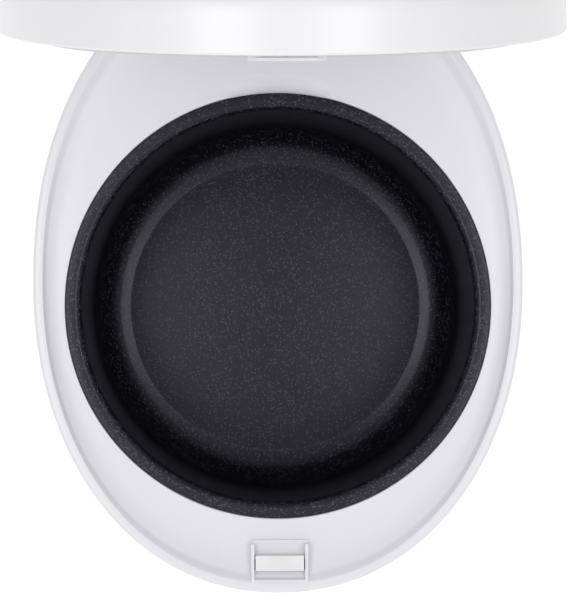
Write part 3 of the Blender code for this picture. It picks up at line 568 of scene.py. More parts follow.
def grown(bm, ring, edges, points):
    """Extrude a ring of edges and set the new ring at its points."""
    geometry = bmesh.ops.extrude_edge_only(bm, edges=edges)["geom"]
    new = set(verts_in(geometry))
    following = []
    for vert, point in zip(ring, points):
        other = next(e.other_vert(vert) for e in vert.link_edges if e.other_vert(vert) in new)
        other.co = point
        following.append(other)
    return following, ring_edges(bm, following)


def ring_edges(bm, ring):
    return [bm.edges.get(pair) for pair in zip(ring, ring[1:] + ring[:1])]


def lofted(rings, closed=True):
    """A skin through rings of equal length: a closed one joins its ends, an open one has flat ends."""
    bm = bmesh.new()
    ring = bmesh.ops.create_circle(bm, segments=len(rings[0]), radius=1.0)["verts"]
    for vert, point in zip(ring, rings[0]):
        vert.co = point
    first = edges = ring_edges(bm, ring)
    for points in rings[1:]:
        ring, edges = grown(bm, ring, edges, points)
    if closed:
        bmesh.ops.bridge_loops(bm, edges=first + edges)
    else:
        bmesh.ops.edgenet_fill(bm, edges=first)
        bmesh.ops.edgenet_fill(bm, edges=edges)
    return solid_from(bm)


def spun(section, closed=True, steps=TURN, centre=(0.0, 0.0)):
    """A section of (radius, height) points spun about an upright line."""
    bm = bmesh.new()
    line = [bm.verts.new((r, 0.0, z)) for r, z in section]
    for pair in zip(line, line[1:]):
        bm.edges.new(pair)
    if closed:
        bm.edges.new((line[-1], line[0]))
    bmesh.ops.spin(
        bm, geom=bm.verts[:] + bm.edges[:], cent=(0, 0, 0), axis=(0, 0, 1),
        angle=2 * pi, steps=steps, use_merge=True,
    )
    bmesh.ops.translate(bm, verts=bm.verts, vec=(*centre, 0.0))
    return solid_from(bm)


def bar(start, end, radius, ease=0.0, steps=SMALL):
    """A round bar between two points, its ends eased."""
    start, end = Vector(start), Vector(end)
    length = (end - start).length
    section = eased([(0, 0, 0), (radius, 0, ease), (radius, length, ease), (0, length, 0)], False, 3)
    solid = spun(section, False, steps)
    turn = (end - start).to_track_quat("Z", "Y").to_matrix().to_4x4()
    solid.data.transform(Matrix.Translation(start) @ turn)
    return solid


def upright(place, low, high, radius, steps=SMALL):
    """A round bar that stands at a place in plan."""
    return bar((*place, low), (*place, high), radius, steps=steps)


def axle(line, x0, x1, radius, ease=0.0, steps=SMALL):
    """A round bar along x, on a line given by its y and z."""
    return bar((x0, *line), (x1, *line), radius, ease, steps)


def box(low, high, ease=0.0, steps=3):
    """A box between two corners, its edges eased."""
    low, high = Vector(low), Vector(high)
    bm = bmesh.new()
    bmesh.ops.create_cube(bm, size=1.0)
    bmesh.ops.scale(bm, verts=bm.verts, vec=high - low)
    bmesh.ops.translate(bm, verts=bm.verts, vec=(low + high) / 2)
    if ease:
        ease_edges(bm, bm.edges[:], ease, steps)
    return solid_from(bm)


def sharp_edges(bm, angle):
    return [e for e in bm.edges if len(e.link_faces) == 2 and e.calc_face_angle() > radians(angle)]


def verts_in(geometry):
    return [item for item in geometry if isinstance(item, bmesh.types.BMVert)]


def ease_edges(bm, edges, width, steps=3):
    bmesh.ops.bevel(
        bm, geom=edges, offset=width, segments=steps, profile=0.5,
        affect="EDGES", material=-1, clamp_overlap=True,
    )


def softened(node, width, steps=3, angle=28.0):
    """A copy of a node's solid with its sharp edges eased, left where it stands."""
    bm = bmesh.new()
    bm.from_mesh(frame["nodes"][node].data)
    bmesh.ops.remove_doubles(bm, verts=bm.verts, dist=0.000005)
    bmesh.ops.dissolve_limit(
        bm, angle_limit=radians(1.0), verts=bm.verts[:], edges=bm.edges[:]
    )
    ease_edges(bm, sharp_edges(bm, angle), width, steps)
    return solid_from(bm, False)


def wound(centre, axis, radius, wire, length, turns, steps=28, sides=12):
    """A helical spring: a round of wire spun and drawn along its axis."""
    bm = bmesh.new()
    section = bmesh.ops.create_circle(bm, segments=sides, radius=wire)["verts"]
    bmesh.ops.rotate(bm, verts=section, cent=(0, 0, 0), matrix=Matrix.Rotation(pi / 2, 3, "X"))
    bmesh.ops.translate(bm, verts=section, vec=(radius, 0, 0))
    first = bm.edges[:]
    count = int(turns * steps)
    last = bmesh.ops.spin(
        bm, geom=bm.verts[:] + first, cent=(0, 0, 0), axis=(0, 0, 1),
        dvec=(0, 0, length / count), angle=2 * pi * turns, steps=count, use_merge=False,
    )["geom_last"]
    bmesh.ops.edgenet_fill(bm, edges=first)
    bmesh.ops.edgenet_fill(bm, edges=[g for g in last if isinstance(g, bmesh.types.BMEdge)])
    solid = solid_from(bm)
    turn = Vector(axis).to_track_quat("Z", "Y").to_matrix().to_4x4()
    solid.data.transform(Matrix.Translation(centre) @ turn)
    return solid


# ---- the oval plan
def plan_point(turn, inset, lid=False):
    """A point of the casing's (or lid's) plan, moved inwards along its normal."""
    c, s = cos(turn), sin(turn)
    power = LID_REAR_POWER if lid and s > 0 else PLAN_POWER
    length = FRONT_LENGTH
    if s > 0:
        length = LID_REAR_LENGTH if lid else REAR_LENGTH
    x = HALF_WIDTH * copysign(abs(c) ** (2 / power), c)
    y = length * copysign(abs(s) ** (2 / power), s)
    across = copysign(abs(x / HALF_WIDTH) ** (power - 1), x) / HALF_WIDTH
    along = copysign(abs(y / length) ** (power - 1), y) / length
    size = hypot(across, along)
    return Vector((x - inset * across / size, y + WIDEST_Y - inset * along / size))


def plan(inset, lid=False):
    return [plan_point(2 * pi * i / RING, inset, lid) for i in range(RING)]


def round_ring(radius, lid=False):
    """A circle round the pot's axis on the same spokes as the plan."""
    return [point.normalized() * radius for point in plan(0.0, lid)]


def blended(one, other, share):
    return [a.lerp(b, share) for a, b in zip(one, other)]


def front_y(x, inset=0.0):
    """Where the front wall stands at a sideways place."""
    share = (1 - (abs(x) / HALF_WIDTH) ** PLAN_POWER) ** (1 / PLAN_POWER)
    return WIDEST_Y - FRONT_LENGTH * share + inset


def raised(ring, z):
    return [(point.x, point.y, z) for point in ring]


def oval_loft(section, ring_at, closed=True):
    """A loft whose rings come from a section of (across, height) points."""
    return lofted([raised(ring_at(across), z) for across, z in section], closed)


def casing_ring(across):
    return plan(across)


def frame_ring(across):
    """From the plan's edge, over the tray, to circles round the pot."""
    if across <= TRAY_EDGE:
        return plan(across)
    beyond = across - TRAY_EDGE
    if beyond < TRAY_SPAN:
        return blended(plan(TRAY_EDGE), round_ring(POT_EDGE), beyond / TRAY_SPAN)
    return round_ring(POT_EDGE - (beyond - TRAY_SPAN))


def cover_ring(scale):
    """The lid's plan shrunk about its middle, which near its edge keeps an even distance from it."""
    middle = Vector((0.0, WIDEST_Y))
    shrunk = [middle + (point - middle) * scale for point in plan(0.0, True)]
    share = min(1.0, max(0.0, (0.9763 - scale) / 0.0413))
    if share == 1.0:
        return shrunk
    return blended(plan((1 - scale) * HALF_WIDTH, True), shrunk, share * share * (3 - 2 * share))


LINER_FLAT = 0.011          # from the lid's edge, as far as the liner follows its plan
LINER_ROUND = 0.031         # length in a section where the liner has become round
LINER_RADIUS = 0.1184


def liner_ring(across):
    """From the lid's edge to circles round the plate's recess."""
    if across <= LINER_FLAT:
        return plan(across, True)
    if across < LINER_ROUND:
        share = (across - LINER_FLAT) / (LINER_ROUND - LINER_FLAT)
        return blended(plan(LINER_FLAT, True), round_ring(LINER_RADIUS, True), share)
    return round_ring(LINER_RADIUS - (across - LINER_ROUND), True)


# ---- pads on the front wall
def pad(width, height, corner, front, back, z, ease, x=0.0, columns=44, dish=0.0):
    """A rounded panel bent to the front wall: a grid with round corners, thickened and eased."""
    bm = bmesh.new()
    rows = max(6, int(columns * height / width))
    bmesh.ops.create_grid(bm, x_segments=columns, y_segments=rows, size=0.5)
    half_w, half_h = width / 2, height / 2
    for vert in bm.verts:
        u, v = vert.co.x * width, vert.co.y * height
        beyond_u = abs(u) - (half_w - corner)
        beyond_v = abs(v) - (half_h - corner)
        if beyond_u > 0 and beyond_v > 0:
            p, q = beyond_u / corner, beyond_v / corner
            beyond_u = corner * p * sqrt(1 - q * q / 2)
            beyond_v = corner * q * sqrt(1 - p * p / 2)
            u = copysign(half_w - corner + beyond_u, u)
            v = copysign(half_h - corner + beyond_v, v)
        hollow = dish * max(0.0, 1 - (u / (half_w * 0.8)) ** 2) * max(0.0, 1 - (v / (half_h * 0.75)) ** 2)
        vert.co = Vector((u, front + hollow, v))
    grown_faces = bmesh.ops.extrude_face_region(bm, geom=bm.faces[:])["geom"]
    for vert in verts_in(grown_faces):
        vert.co.y = back
    bmesh.ops.recalc_face_normals(bm, faces=bm.faces)
    edges = [
        e for e in sharp_edges(bm, 50)
        if (e.verts[0].co.y + e.verts[1].co.y) / 2 < (front + back) / 2
        and abs(e.verts[0].co.y - e.verts[1].co.y) < 0.00001
    ]
    ease_edges(bm, edges, ease, 4)
    for vert in bm.verts:
        vert.co = (vert.co.x + x, front_y(vert.co.x + x, vert.co.y), vert.co.z + z)
    return solid_from(bm)


def prism_y(width, height, corner, z, y0, y1, x=0.0):
    """A straight bar along y with a rounded rectangular section, for cutting."""
    bm = bmesh.new()
    bmesh.ops.create_cube(bm, size=1.0)
    bmesh.ops.scale(bm, verts=bm.verts, vec=(width, y1 - y0, height))
    bmesh.ops.translate(bm, verts=bm.verts, vec=(x, (y0 + y1) / 2, z))
    along = [e for e in bm.edges if abs(e.verts[0].co.y - e.verts[1].co.y) > 0.001]
    ease_edges(bm, along, corner, 10)
    return solid_from(bm)


# ---- casing
def make_top_frame():
    """The rim, the tray that falls from it to the pot, the hinge's ears, the scoop and the latch's pocket."""
    seat = TRAY_EDGE + TRAY_SPAN
    hole = seat + POT_EDGE - HOLE_RADIUS
    section = eased([
        (0, -BAND, 0.0003), (0, 0.0, 0.0022), (TRAY_EDGE, 0.0, 0.0007),
        (TRAY_EDGE + 0.11 * TRAY_SPAN, -0.0034, 0.0010),
        (TRAY_EDGE + 0.38 * TRAY_SPAN, -0.0064, 0.0030),
        (TRAY_EDGE + 0.70 * TRAY_SPAN, -0.0080, 0.0030),
        (TRAY_EDGE + 0.93 * TRAY_SPAN, -0.0086, 0.0008), (seat, -0.0086, 0.0004),
        (seat + 0.0004, -0.0104, 0.0005), (hole, -0.0104, 0.0007), (hole, -0.0160, 0.0003),
        (hole - 0.0014, -0.0160, 0), (hole - 0.0014, -0.0129, 0),
        (TRAY_EDGE + 0.90 * TRAY_SPAN, -0.0129, 0), (TRAY_EDGE + 0.35 * TRAY_SPAN, -0.0086, 0),
        (0.0050, -0.0026, 0), (0.0024, -0.0026, 0), (0.0024, -BAND, 0.0),
    ])
    solid = oval_loft([(across, RIM_Z + z) for across, z in section], frame_ring)
    for side in (-1, 1):
        join(solid, hinge_ear(side))
    low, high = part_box("latch_housing")  # the latch's pocket is part of the same moulding
    rear = high.y - AXIS_Y
    join(solid, box((low.x, low.y - AXIS_Y, low.z), (high.x, rear, RIM_Z - 0.0001), 0.0004))
    top = RIM_Z + 0.010
    half = high.x - POCKET_WALL
    ramp = [
        (SHELF_REAR, -0.0044), (-0.1498, -0.0022), (-0.1513, 0.0002), (-0.1513, 0.0100), (-0.1440, 0.0100),
        (-0.1440, -0.0044),
    ]
    cut(
        solid,
        box((-half, SHELF_REAR, low.z - 0.01), (half, SLOT_REAR, top)),
        box((-half, -0.1472, low.z - 0.01), (half, SLOT_REAR, RIM_Z - 0.0062)),
        box((-half, -0.1450, RIM_Z - 0.0050), (half, rear - POCKET_WALL, top)),
        box((-0.030, rear - POCKET_WALL, RIM_Z - 0.0055), (0.030, rear + 0.0100, top)),
        lofted([[(x, y, RIM_Z + z) for y, z in ramp] for x in (-half, half)], False),
        axle(LATCH_LINE, -0.030, 0.030, LATCH_PIN_RADIUS + GAP),
        drain_scoop(),
    )
    finished(solid, ["top_frame", "latch_housing"], finish=TRAY_WHITE, angle=24.0)


def hinge_ear(side):
    """A rounded upright ear, with the hole that the hinge pin runs in."""
    radius, low = EAR_RADIUS, RIM_Z - 0.0055
    bm = bmesh.new()
    ring = bmesh.ops.create_circle(bm, segments=48, radius=radius)["verts"]
    for vert in ring:
        y, z = vert.co.x, vert.co.y
        if z < -0.00001:
            z = low - HINGE_Z
            y = copysign(radius, y) if abs(y) > 0.5 * radius else y
        vert.co = (side * EAR_IN, HINGE_Y + y, HINGE_Z + z)
    face = bmesh.ops.edgenet_fill(bm, edges=bm.edges[:])["faces"]
    out = bmesh.ops.extrude_face_region(bm, geom=face)["geom"]
    bmesh.ops.translate(bm, verts=verts_in(out), vec=(side * EAR_WIDTH, 0, 0))
    bmesh.ops.remove_doubles(bm, verts=bm.verts, dist=0.00001)
    bmesh.ops.recalc_face_normals(bm, faces=bm.faces)
    ease_edges(bm, sharp_edges(bm, 60), 0.0007)
    ear = solid_from(bm)
    return cut(ear, axle(HINGE_LINE, side * 0.040, side * 0.058, HINGE_HOLE))


def drain_scoop():
    """The shallow lens-shaped dish behind the pot."""
    bm = bmesh.new()
    bmesh.ops.create_uvsphere(bm, u_segments=96, v_segments=48, radius=1.0)
    bmesh.ops.scale(bm, verts=bm.verts, vec=(0.032, 0.0118, 0.0050))
    bmesh.ops.translate(bm, verts=bm.verts, vec=(0.0, 0.1185, RIM_Z - 0.0066))
    return solid_from(bm)


def make_shell():
    """The outer wall, drawn in towards the base, with its openings."""
    section = eased([
        (0.0003, RIM_Z - BAND - GAP, 0.0005), (0.0003, 0.072, 0.018), (0.0016, 0.048, 0.012),
        (0.0055, 0.028, 0.009), (0.0120, 0.014, 0.005), (0.0180, 0.009, 0.0008),
        (0.0205, 0.010, 0.0006), (0.0145, 0.0165, 0.004), (0.0082, 0.030, 0.008),
        (0.0043, 0.049, 0.009), (0.0029, 0.072, 0.012), (0.0029, RIM_Z - BAND - GAP, 0.0003),
    ], steps=6)
    solid = oval_loft(section, casing_ring)
    cut(
        solid,
        prism_y(0.0926, 0.0706, 0.0103, PANEL_Z, *FRONT_CUT),
        prism_y(0.0448, 0.0188, 0.0064, RELEASE_Z, *FRONT_CUT),
        prism_y(0.0308, 0.0228, 0.0010, 0.042, 0.15, 0.21),
    )
    finished(solid, "outer_shell")

    cowl = oval_loft(
        eased([
            (0.0030, RIM_Z + GAP, 0), (0.0024, RIM_Z + 0.0030, 0.001),
            (0.0030, RIM_Z + 0.0064, 0.0022), (0.0062, RIM_Z + 0.0068, 0.0),
        ], False, 6),
        casing_ring, False,
    )
    front = HINGE_Y + BARREL_RADIUS + 0.0012
    combined(cowl, box((-0.060, front, RIM_Z - 0.01), (0.060, 0.22, RIM_Z + 0.02), 0.003), "INTERSECT")
    finished(cowl, "hinge_cowl")


def make_base():
    """The base plate with its air slots, screw wells and feet."""
    base = oval_loft(
        eased([
            (0.0220, 0.0040, 0), (0.0185, 0.0052, 0.001), (0.0175, 0.0070, 0.0008), (0.0175, 0.0087, 0),
        ], False),
        casing_ring, False,
    )
    for i in range(7):
        x = (i - 3) * 0.012
        cut(base, box((x - 0.002, -0.040, 0.0), (x + 0.002, 0.040, 0.02)))
    corners = ("front_left", "front_right", "rear_left", "rear_right")
    for corner in corners:
        node = f"foot_{corner}"
        middle = middle_of(node)
        cut(base, upright(middle, 0.0, 0.02, 0.0038))
        foot = spun(eased([
            (0, 0.0004, 0), (0.0050, 0.0004, 0.0003), (0.0056, 0.0, 0.0002), (0.0088, 0.0, 0.0008),
            (0.0100, 0.0012, 0.0006), (0.0100, 0.0037, 0.0003), (0.0034, 0.0037, 0),
            (0.0034, 0.0093, 0.0004), (0.0024, 0.0101, 0.0003), (0.0, 0.0101, 0),
        ], False), False, 64, middle)
        finished(foot, node)
    for corner in corners:
        node = f"base_screw_{corner}"
        x, y = middle_of(node)
        cut(base, upright((x, y), 0.0, 0.02, 0.0018), upright((x, y), 0.0, 0.0062, 0.0036))
        screw = spun(eased([
            (0, 0.0041, 0), (0.0028, 0.0041, 0.0004), (0.0033, 0.0046, 0.0003),
            (0.0033, 0.0059, 0.0002), (0.0015, 0.0059, 0), (0.0015, 0.0200, 0.0003), (0.0, 0.0200, 0),
        ], False), False, SMALL, (x, y))
        for long, wide in ((0.0019, 0.0004), (0.0004, 0.0019)):
            cut(screw, box((x - long, y - wide, 0.0), (x + long, y + wide, 0.0052)))
        finished(screw, node)
    finished(base, "base_plate")


def middle_of(node):
    """The middle of a node in plan, from the pot's axis."""
    low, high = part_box(node)
    return (low.x + high.x) / 2, (low.y + high.y) / 2 - AXIS_Y


# ---- pot and heating
def make_pot():
    """The pressed pot: flat floor, wide corner, straight wall, rolled mouth and flange."""
    z = FLANGE_Z
    fall = POT_CROWN / POT_FLOOR_EDGE ** 2
    low = POT_FLOOR
    inner = []
    for k in range(15):
        radius = POT_FLOOR_EDGE * k / 14
        inner.append((radius, low + POT_CROWN - fall * radius ** 2))
    inner += eased([
        (POT_FLOOR_EDGE + 0.0003, low, 0), (POT_FLOOR_EDGE + 0.0012, low, 0.0005),
        (POT_RING_EDGE, low + POT_RING_RISE, 0),
    ], False, 4)
    tilt = radians(20.0)
    bend = (POT - POT_RING_EDGE) / (1 - sin(tilt))
    for k in range(1, 25):
        turn = tilt + (pi / 2 - tilt) * k / 24
        inner.append((
            POT - bend + bend * sin(turn),
            low + POT_RING_RISE + bend * (cos(tilt) - cos(turn)),
        ))
    mouth = eased([
        (POT, z - 0.0062, 0), (POT + 0.0005, z - 0.0030, 0.0012), (POT + 0.0026, z, 0.0018),
        (0.1178, z, 0.0007), (0.1178, z - 0.0020, 0.0006),
        (POT + POT_WALL + 0.0020, z - 0.0020, 0.0010), (POT + POT_WALL, z - 0.0050, 0),
    ], False, 6)
    outer = eased([
        (POT + POT_WALL, z - 0.0060, 0),
        (POT + POT_WALL, POT_FLOOR - POT_WALL, CORNER + POT_WALL),
        (0, POT_FLOOR - POT_WALL, 0),
    ], False, 22)
    finished(spun(inner + mouth + outer, False), "inner_pot")


def make_heating():
    """The drum, the grooved plate, the sprung sensor and its spring."""
    drum_low, drum_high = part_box("inner_drum")
    radius, low, high = drum_high.x, drum_low.z, drum_high.z
    sheet = 0.0008
    drum = spun(eased([
        (radius, high, 0.0003), (radius, low, 0.0030), (0.060, low, 0.0003),
        (0.060, low + sheet, 0.0003), (radius - sheet, low + sheet, 0.0022), (radius - sheet, high, 0.0003),
    ], steps=5))
    finished(drum, "inner_drum")

    plate_low, plate_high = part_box("heating_plate")
    top, under, hole = plate_high.z, plate_high.z - 0.011, 0.0206
    grooves = []
    for i in range(9):
        r = 0.078 - i * 0.006
        grooves += [(r + 0.0008, top, 0.0002), (r + 0.0004, top - 0.0004, 0.0002),
                    (r - 0.0004, top - 0.0004, 0.0002), (r - 0.0008, top, 0.0002)]
    plate = spun(eased([
        (hole, under, 0.0003), (0.086, under, 0.0010), (0.086, top, 0.0022), *grooves, (hole, top, 0.0006),
    ], steps=2))
    for i in range(3):
        turn = radians(90 + 120 * i)
        middle = 0.074 * cos(turn), 0.074 * sin(turn)
        join(plate, upright(middle, plate_low.z, under + 0.001, 0.005))
    finished(plate, "heating_plate")

    sensor_low, sensor_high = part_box("sensor_plunger")
    top, rim = sensor_high.z, sensor_high.x
    crown, skirt = top - 0.0022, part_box("sensor_bracket")[1].z + 0.0038
    sensor = spun(eased([
        (0, sensor_low.z, 0), (0.0030, sensor_low.z, 0.0004), (0.0030, crown, 0),
        (rim - 0.0014, crown, 0.0004), (rim - 0.0014, skirt, 0.0002), (rim, skirt, 0.0002),
        (rim, top - 0.0002, 0.0010), (rim - 0.0035, top, 0.0006), (0.0, top, 0),
    ], False), False, 96)
    finished(sensor, "sensor_plunger")
    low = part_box("sensor_bracket")[1].z
    finished(wound((0, 0, low + 0.0011), (0, 0, 1), 0.009, 0.0008, crown - low - 0.0022, 4), "sensor_spring")
    finished(softened("sensor_bracket", 0.0004), "sensor_bracket", Matrix())


# ---- front
def make_panel():
    """The control panel with its window, its four buttons and the lid's release."""
    panel = pad(*PANEL_SIZE, 0.010, -0.0006, 0.0029, PANEL_Z, 0.0006, columns=56)
    cut(panel, prism_y(0.0466, 0.0266, 0.0033, WINDOW_Z, *FRONT_CUT))
    for x in BUTTONS.values():
        ends = [(x, y, BUTTON_Z) for y in FRONT_CUT]
        cut(panel, bar(*ends, BUTTON_RADIUS + 0.0004))
    finished(panel, "control_panel")
    finished(pad(*WINDOW_SIZE, 0.003, -0.0006, 0.0014, WINDOW_Z, 0.0004), "display_window")
    for node, x in BUTTONS.items():
        finished(push_button(x), node)
    release = pad(*RELEASE_SIZE, 0.006, -0.0018, 0.0050, RELEASE_Z, 0.0009, dish=0.0009)
    finished(release, "release_button")


def push_button(x):
    """A round cap with a dished face, bent to the wall, on its collar."""
    section = eased([
        (0, -0.0010, 0), (0.0030, -0.0011, 0.0010), (0.0042, -0.0014, 0.0005),
        (BUTTON_RADIUS, -0.0014, 0.0005), (BUTTON_RADIUS, 0.0034, 0), (0.0, 0.0034, 0),
    ], False, 5)
    solid = spun(section, False, 72)
    solid.data.transform(Matrix.Rotation(pi / 2, 4, "X"))
    for vert in solid.data.vertices:
        vert.co = (vert.co.x + x, front_y(vert.co.x + x, -vert.co.y), vert.co.z + BUTTON_Z)
    bm = bmesh.new()
    bm.from_mesh(solid.data)
    bmesh.ops.recalc_face_normals(bm, faces=bm.faces)
    bm.to_mesh(solid.data)
    bm.free()
    return solid


def make_latch():
    """The hook in its pocket with its pin and its spring, and the inlet at the back."""
    low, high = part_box("latch_hook")
    nose_under = RIM_Z - 0.0014
    hook = box((low.x, low.y - AXIS_Y, nose_under), (high.x, high.y - AXIS_Y, high.z), 0.0005)
    join(
        hook,
        box((-0.009, LATCH_Y, LATCH_Z), (0.009, LATCH_Y + 0.0020, nose_under + 0.0008)),
        axle(LATCH_LINE, -0.009, 0.009, 0.0029, 0.0003),
        box((-0.004, LATCH_Y - 0.0012, low.z), (0.004, LATCH_Y + 0.0014, LATCH_Z), 0.0004),
    )
    cut(hook, axle(LATCH_LINE, -0.030, 0.030, LATCH_PIN_RADIUS + GAP))
    finished(hook, "latch_hook")
    eases = {"latch_pin": 0.0002, "inlet_housing": 0.0004}
    eases |= {f"inlet_pin_{pole}": 0.0003 for pole in ("live", "neutral", "earth")}
    for node, ease in eases.items():
        finished(softened(node, ease), node, Matrix())
    finished(wound((0.0100, *LATCH_LINE), (1, 0, 0), 0.0023, 0.00035, 0.0032, 3), "latch_spring")


def make_hinge():
    """Two headed pins on the hinge line, each with its torsion spring."""
    for side, name in ((-1, "left"), (1, "right")):
        pin = axle(HINGE_LINE, side * 0.0260, side * 0.0550, HINGE_PIN)
        join(pin, axle(HINGE_LINE, side * 0.0543, side * 0.0560, 0.0036, 0.0005))
        finished(pin, f"hinge_pin_{name}")
        spring = wound((side * 0.0373, *HINGE_LINE), (side, 0, 0), 0.0034, 0.00065, 0.0059, 4)
        finished(spring, f"hinge_spring_{name}")


# ---- lid, drawn shut
def make_cover():
    """The domed cover with its skirt, the vent's opening and the hinge barrel."""
    outer = [
        (0.02, 0.0420, 0), (0.25, 0.0417, 9), (0.50, 0.0406, 9), (0.71, 0.0386, 9), (0.85, 0.0356, 9),
        (0.935, 0.0315, 9), (0.9763, 0.0260, 9), (0.9911, 0.0200, 9),
    ]
    edge = [(0.9985, 0.0012, 0.0012), (0.9926, 0.0004, 0.0006), (0.9785, 0.0004, 0.0004)]
    inner = [
        (0.9785, 0.0060, 0), (0.9711, 0.0200, 0.004), (0.9593, 0.0240, 0.004), (0.91, 0.0290, 0.004),
        (0.83, 0.0330, 0), (0.70, 0.0361, 0), (0.50, 0.0381, 0), (0.02, 0.0396, 0),
    ]
    wide = HALF_WIDTH
    stretched = [(scale * wide, z, min(reach, 1.0)) for scale, z, reach in outer + edge + inner]
    section = [(across / wide, RIM_Z + z) for across, z in eased(stretched, False, 6)]
    solid = oval_loft(section, cover_ring, False)
    cut(solid, upright(VENT_CENTRE, RIM_Z + 0.030, RIM_Z + 0.060, VENT_RADIUS + GAP, 96))
    join(
        solid,
        box((-BARREL_HALF, 0.1625, HINGE_Z - 0.0068), (BARREL_HALF, HINGE_Y, HINGE_Z + 0.0070)),
        axle(HINGE_LINE, -BARREL_HALF, BARREL_HALF, BARREL_RADIUS, 0.0008, 64),
    )
    for side in (-1, 1):
        cut(solid, axle(HINGE_LINE, side * 0.0250, side * 0.0400, HINGE_HOLE))
    finished(solid, "lid_cover", LID_HOME)


def make_liner():
    """The liner inside the cover, with the recess for the plate, and the catch."""
    section = eased([
        (0.1474, 0.0020, 0), (0.0330, 0.0020, 0.0008), (0.0330, -0.0020, 0.0006),
        (LINER_ROUND, -0.0020, 0.0008), (LINER_FLAT, 0.0006, 0.0030), (0.0032, 0.0006, 0.0005),
        (0.0032, 0.0050, 0), (0.0052, 0.0050, 0), (0.0052, 0.0028, 0), (LINER_FLAT, 0.0028, 0),
        (0.0374, 0.0042, 0), (0.1474, 0.0042, 0),
    ], False, 5)
    solid = oval_loft([(across, RIM_Z + z) for across, z in section], liner_ring, False)
    low, high = RIM_Z - 0.01, RIM_Z + 0.01
    cut(
        solid,
        box((-0.0170, -0.1475, low), (0.0170, -0.1200, RIM_Z + 0.0017)),
        upright(VENT_CENTRE, low, high, 0.0073),
        upright(LID_SENSOR, low, high, 0.0048),
        upright((0, 0), low, high, 0.0043),
    )
    finished(solid, "lid_liner", LID_HOME)
    finished(softened("lid_catch", 0.0004), "lid_catch", Matrix())


def make_inner_lid():
    """The plate with its seal, the knob that holds it, the vapour sensor and the vent."""
    z = RIM_Z
    plate = spun(eased([
        (0, z - 0.0012, 0), (0.070, z - 0.0012, 0.002), (0.078, z - 0.0030, 0.002),
        (LID_PLATE, z - 0.0030, 0.0003), (LID_PLATE, z - 0.0040, 0.0004),
        (0.0774, z - 0.0040, 0.002), (0.0694, z - 0.0022, 0.002), (0.030, z - 0.0022, 0.0006),
        (0.0285, z - 0.0027, 0.0006), (0.0, z - 0.0027, 0),
    ], False, 5), False)
    low, high = z - 0.01, z + 0.01
    cut(
        plate,
        upright((0, 0), low, high, 0.0044),
        upright(LID_SENSOR, low, high, 0.0049),
        upright(VENT_CENTRE, low, high, 0.0097, 64),
    )
    lid_metal = spun_metal("lid_metal", (0.70, 0.70, 0.71), 0.30, POT_CENTRE)
    finished(plate, "inner_lid_plate", LID_HOME, lid_metal)
    seal = spun(eased([
        (0.1043, z - 0.0014, 0.0004), (0.1154, z - 0.0014, 0.0006), (0.1154, z - 0.0030, 0.001),
        (0.1148, z - 0.0045, 0.0006), (0.1134, z - 0.0045, 0.0006), (0.1122, z - 0.0036, 0.0010),
        (0.1043, z - 0.0043, 0.0006),
    ], steps=5))
    finished(seal, "lid_gasket", LID_HOME)
    knob = spun(eased([
        (0, z - 0.0056, 0), (0.0040, z - 0.0056, 0.001), (0.0050, z - 0.0062, 0.0005),
        (0.0070, z - 0.0062, 0.0008), (0.0085, z - 0.0050, 0.0008), (0.0085, z - 0.0025, 0.0003),
        (0.0040, z - 0.0025, 0), (0.0040, z + 0.0080, 0.0004), (0.0, z + 0.0080, 0),
    ], False, 5), False, 72)
    finished(knob, "plate_knob", LID_HOME)
    sensor = spun(eased([
        (0, z - 0.0060, 0), (0.0035, z - 0.0060, 0.0008), (0.0045, z - 0.0050, 0.0006),
        (0.0045, z + 0.0090, 0.0003), (0.0, z + 0.0090, 0),
    ], False, 5), False, 64, LID_SENSOR)
    finished(sensor, "lid_sensor", LID_HOME)

    wall = VENT_RADIUS
    cup = spun(eased([
        (0.0068, z - 0.0036, 0.0003), (0.0068, z + 0.0240, 0.0004), (wall - 0.0020, z + 0.0240, 0.0006),
        (wall, z + 0.0260, 0.0006), (wall, z + 0.0400, 0.0004), (wall - 0.0014, z + 0.0400, 0.0004),
        (wall - 0.0014, z + 0.0258, 0.0006), (0.0052, z + 0.0258, 0.0004), (0.0052, z - 0.0036, 0.0003),
    ]), True, 96, VENT_CENTRE)
    finished(cup, "vent_cup", LID_HOME)
    edge = wall - 0.0014 - GAP
    cap = spun(eased([
        (edge - 0.0014, z + 0.0290, 0.0003), (edge, z + 0.0290, 0.0003), (edge, z + 0.0415, 0.001),
        (edge - 0.0020, z + 0.0428, 0.0010), (0.0, z + 0.0434, 0), (0.0, z + 0.0414, 0),
        (edge - 0.0014, z + 0.0405, 0.0010),
    ], steps=5), True, 96, VENT_CENTRE)
    for side in (-1, 1):
        for y in (-0.0050, 0.0, 0.0050):
            x = side * CAP_SLOT_X
            low_corner = (x - 0.0045, VENT_Y + y - 0.0008, z + 0.035)
            high_corner = (x + 0.0045, VENT_Y + y + 0.0008, z + 0.050)
            cut(cap, box(low_corner, high_corner, 0.0007))
    finished(cap, "steam_vent_cap", LID_HOME)
    ring = spun(eased([
        (0.0071, z - 0.0044, 0.0005), (0.0094, z - 0.0044, 0.0005), (0.0094, z - 0.0010, 0.0003),
        (0.0071, z - 0.0010, 0.0003),
    ]), True, 64, VENT_CENTRE)
    finished(ring, "vent_gasket", LID_HOME)


# ---- stage
def white_floor():
    """A wide pale floor, lit a little from below as on a light table."""
    bm = bmesh.new()
    bmesh.ops.create_grid(bm, x_segments=8, y_segments=8, size=6.0)
    floor = solid_from(bm, False)
    floor.name = "floor"
    f = Finish("floor")
    grain = f.noise(6.0, 3.0)
    floor.data.materials.append(f.surface(
        Base_Color=f.mixed(grain, (0.90, 0.90, 0.90), (0.92, 0.92, 0.92)),
        Roughness=0.85,
        Emission_Color=(1.0, 1.0, 1.0),
        Emission_Strength=0.32,
    ))


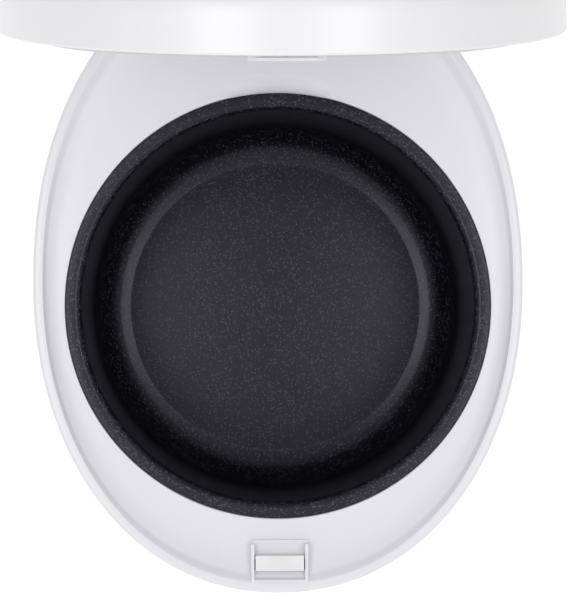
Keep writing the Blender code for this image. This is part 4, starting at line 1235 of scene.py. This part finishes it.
def softbox(name, place, aim, size, power):
    """A rectangular light that faces its aim."""
    light = bpy.data.lights.new(name, "AREA")
    light.shape = "RECTANGLE"
    light.size, light.size_y = size
    light.energy = power
    holder = bpy.data.objects.new(name, light)
    scene.collection.objects.link(holder)
    holder.location = place
    holder.rotation_euler = (Vector(aim) - Vector(place)).to_track_quat("-Z", "Y").to_euler()


def studio():
    """White surroundings, brighter in front, and a softbox overhead at each side."""
    world = bpy.data.worlds.new("studio")
    scene.world = world
    world.use_nodes = True
    nodes, links = world.node_tree.nodes, world.node_tree.links
    background = nodes["Background"]
    background.inputs["Color"].default_value = (0.98, 0.975, 1.0, 1.0)
    way = nodes.new("ShaderNodeSeparateXYZ")
    links.new(nodes.new("ShaderNodeTexCoord").outputs["Generated"], way.inputs[0])
    fall = nodes.new("ShaderNodeMapRange")
    links.new(way.outputs["Y"], fall.inputs["Value"])
    for name, value in (("From Min", -1.0), ("From Max", 1.0), ("To Min", 0.90), ("To Max", 0.37)):
        fall.inputs[name].default_value = value
    links.new(fall.outputs["Result"], background.inputs["Strength"])
    softbox("left_softbox", (-0.75, -0.05, 2.0), (-0.40, -0.05, 0.0), (0.9, 0.8), 8.4)
    softbox("right_softbox", (0.75, -0.05, 2.0), (0.40, -0.05, 0.0), (0.9, 0.8), 7.2)
    scene.view_settings.view_transform = "Standard"
    scene.view_settings.look = "None"


def camera():
    """Looking almost straight down into the pot."""
    place = Vector((-0.017, AXIS_Y - 0.007, RIM_Z + 1.260))
    aim = Vector((0.0047, AXIS_Y + 0.0029, RIM_Z))
    lean = radians(0.3)
    forward = (aim - place).normalized()
    right = forward.cross(Vector((sin(lean), cos(lean), 0.0))).normalized()
    up = right.cross(forward)
    data = bpy.data.cameras.new("camera")
    data.lens = 137.4
    data.sensor_width = 36.0
    data.clip_start = 0.05
    data.clip_end = 40.0
    holder = bpy.data.objects.new("camera", data)
    scene.collection.objects.link(holder)
    turn = Matrix((right, up, -forward)).transposed()
    holder.matrix_world = Matrix.Translation(place) @ turn.to_4x4()
    scene.camera = holder


# ---- whole
camera()
studio()
white_floor()
for node, solid in frame["nodes"].items():
    solid.data.materials.clear()
    solid.data.materials.append(FINISHES[NODE_SLOT[node]])
make_top_frame()
make_shell()
make_base()
make_pot()
make_heating()
make_panel()
make_latch()
make_hinge()
make_cover()
make_liner()
make_inner_lid()
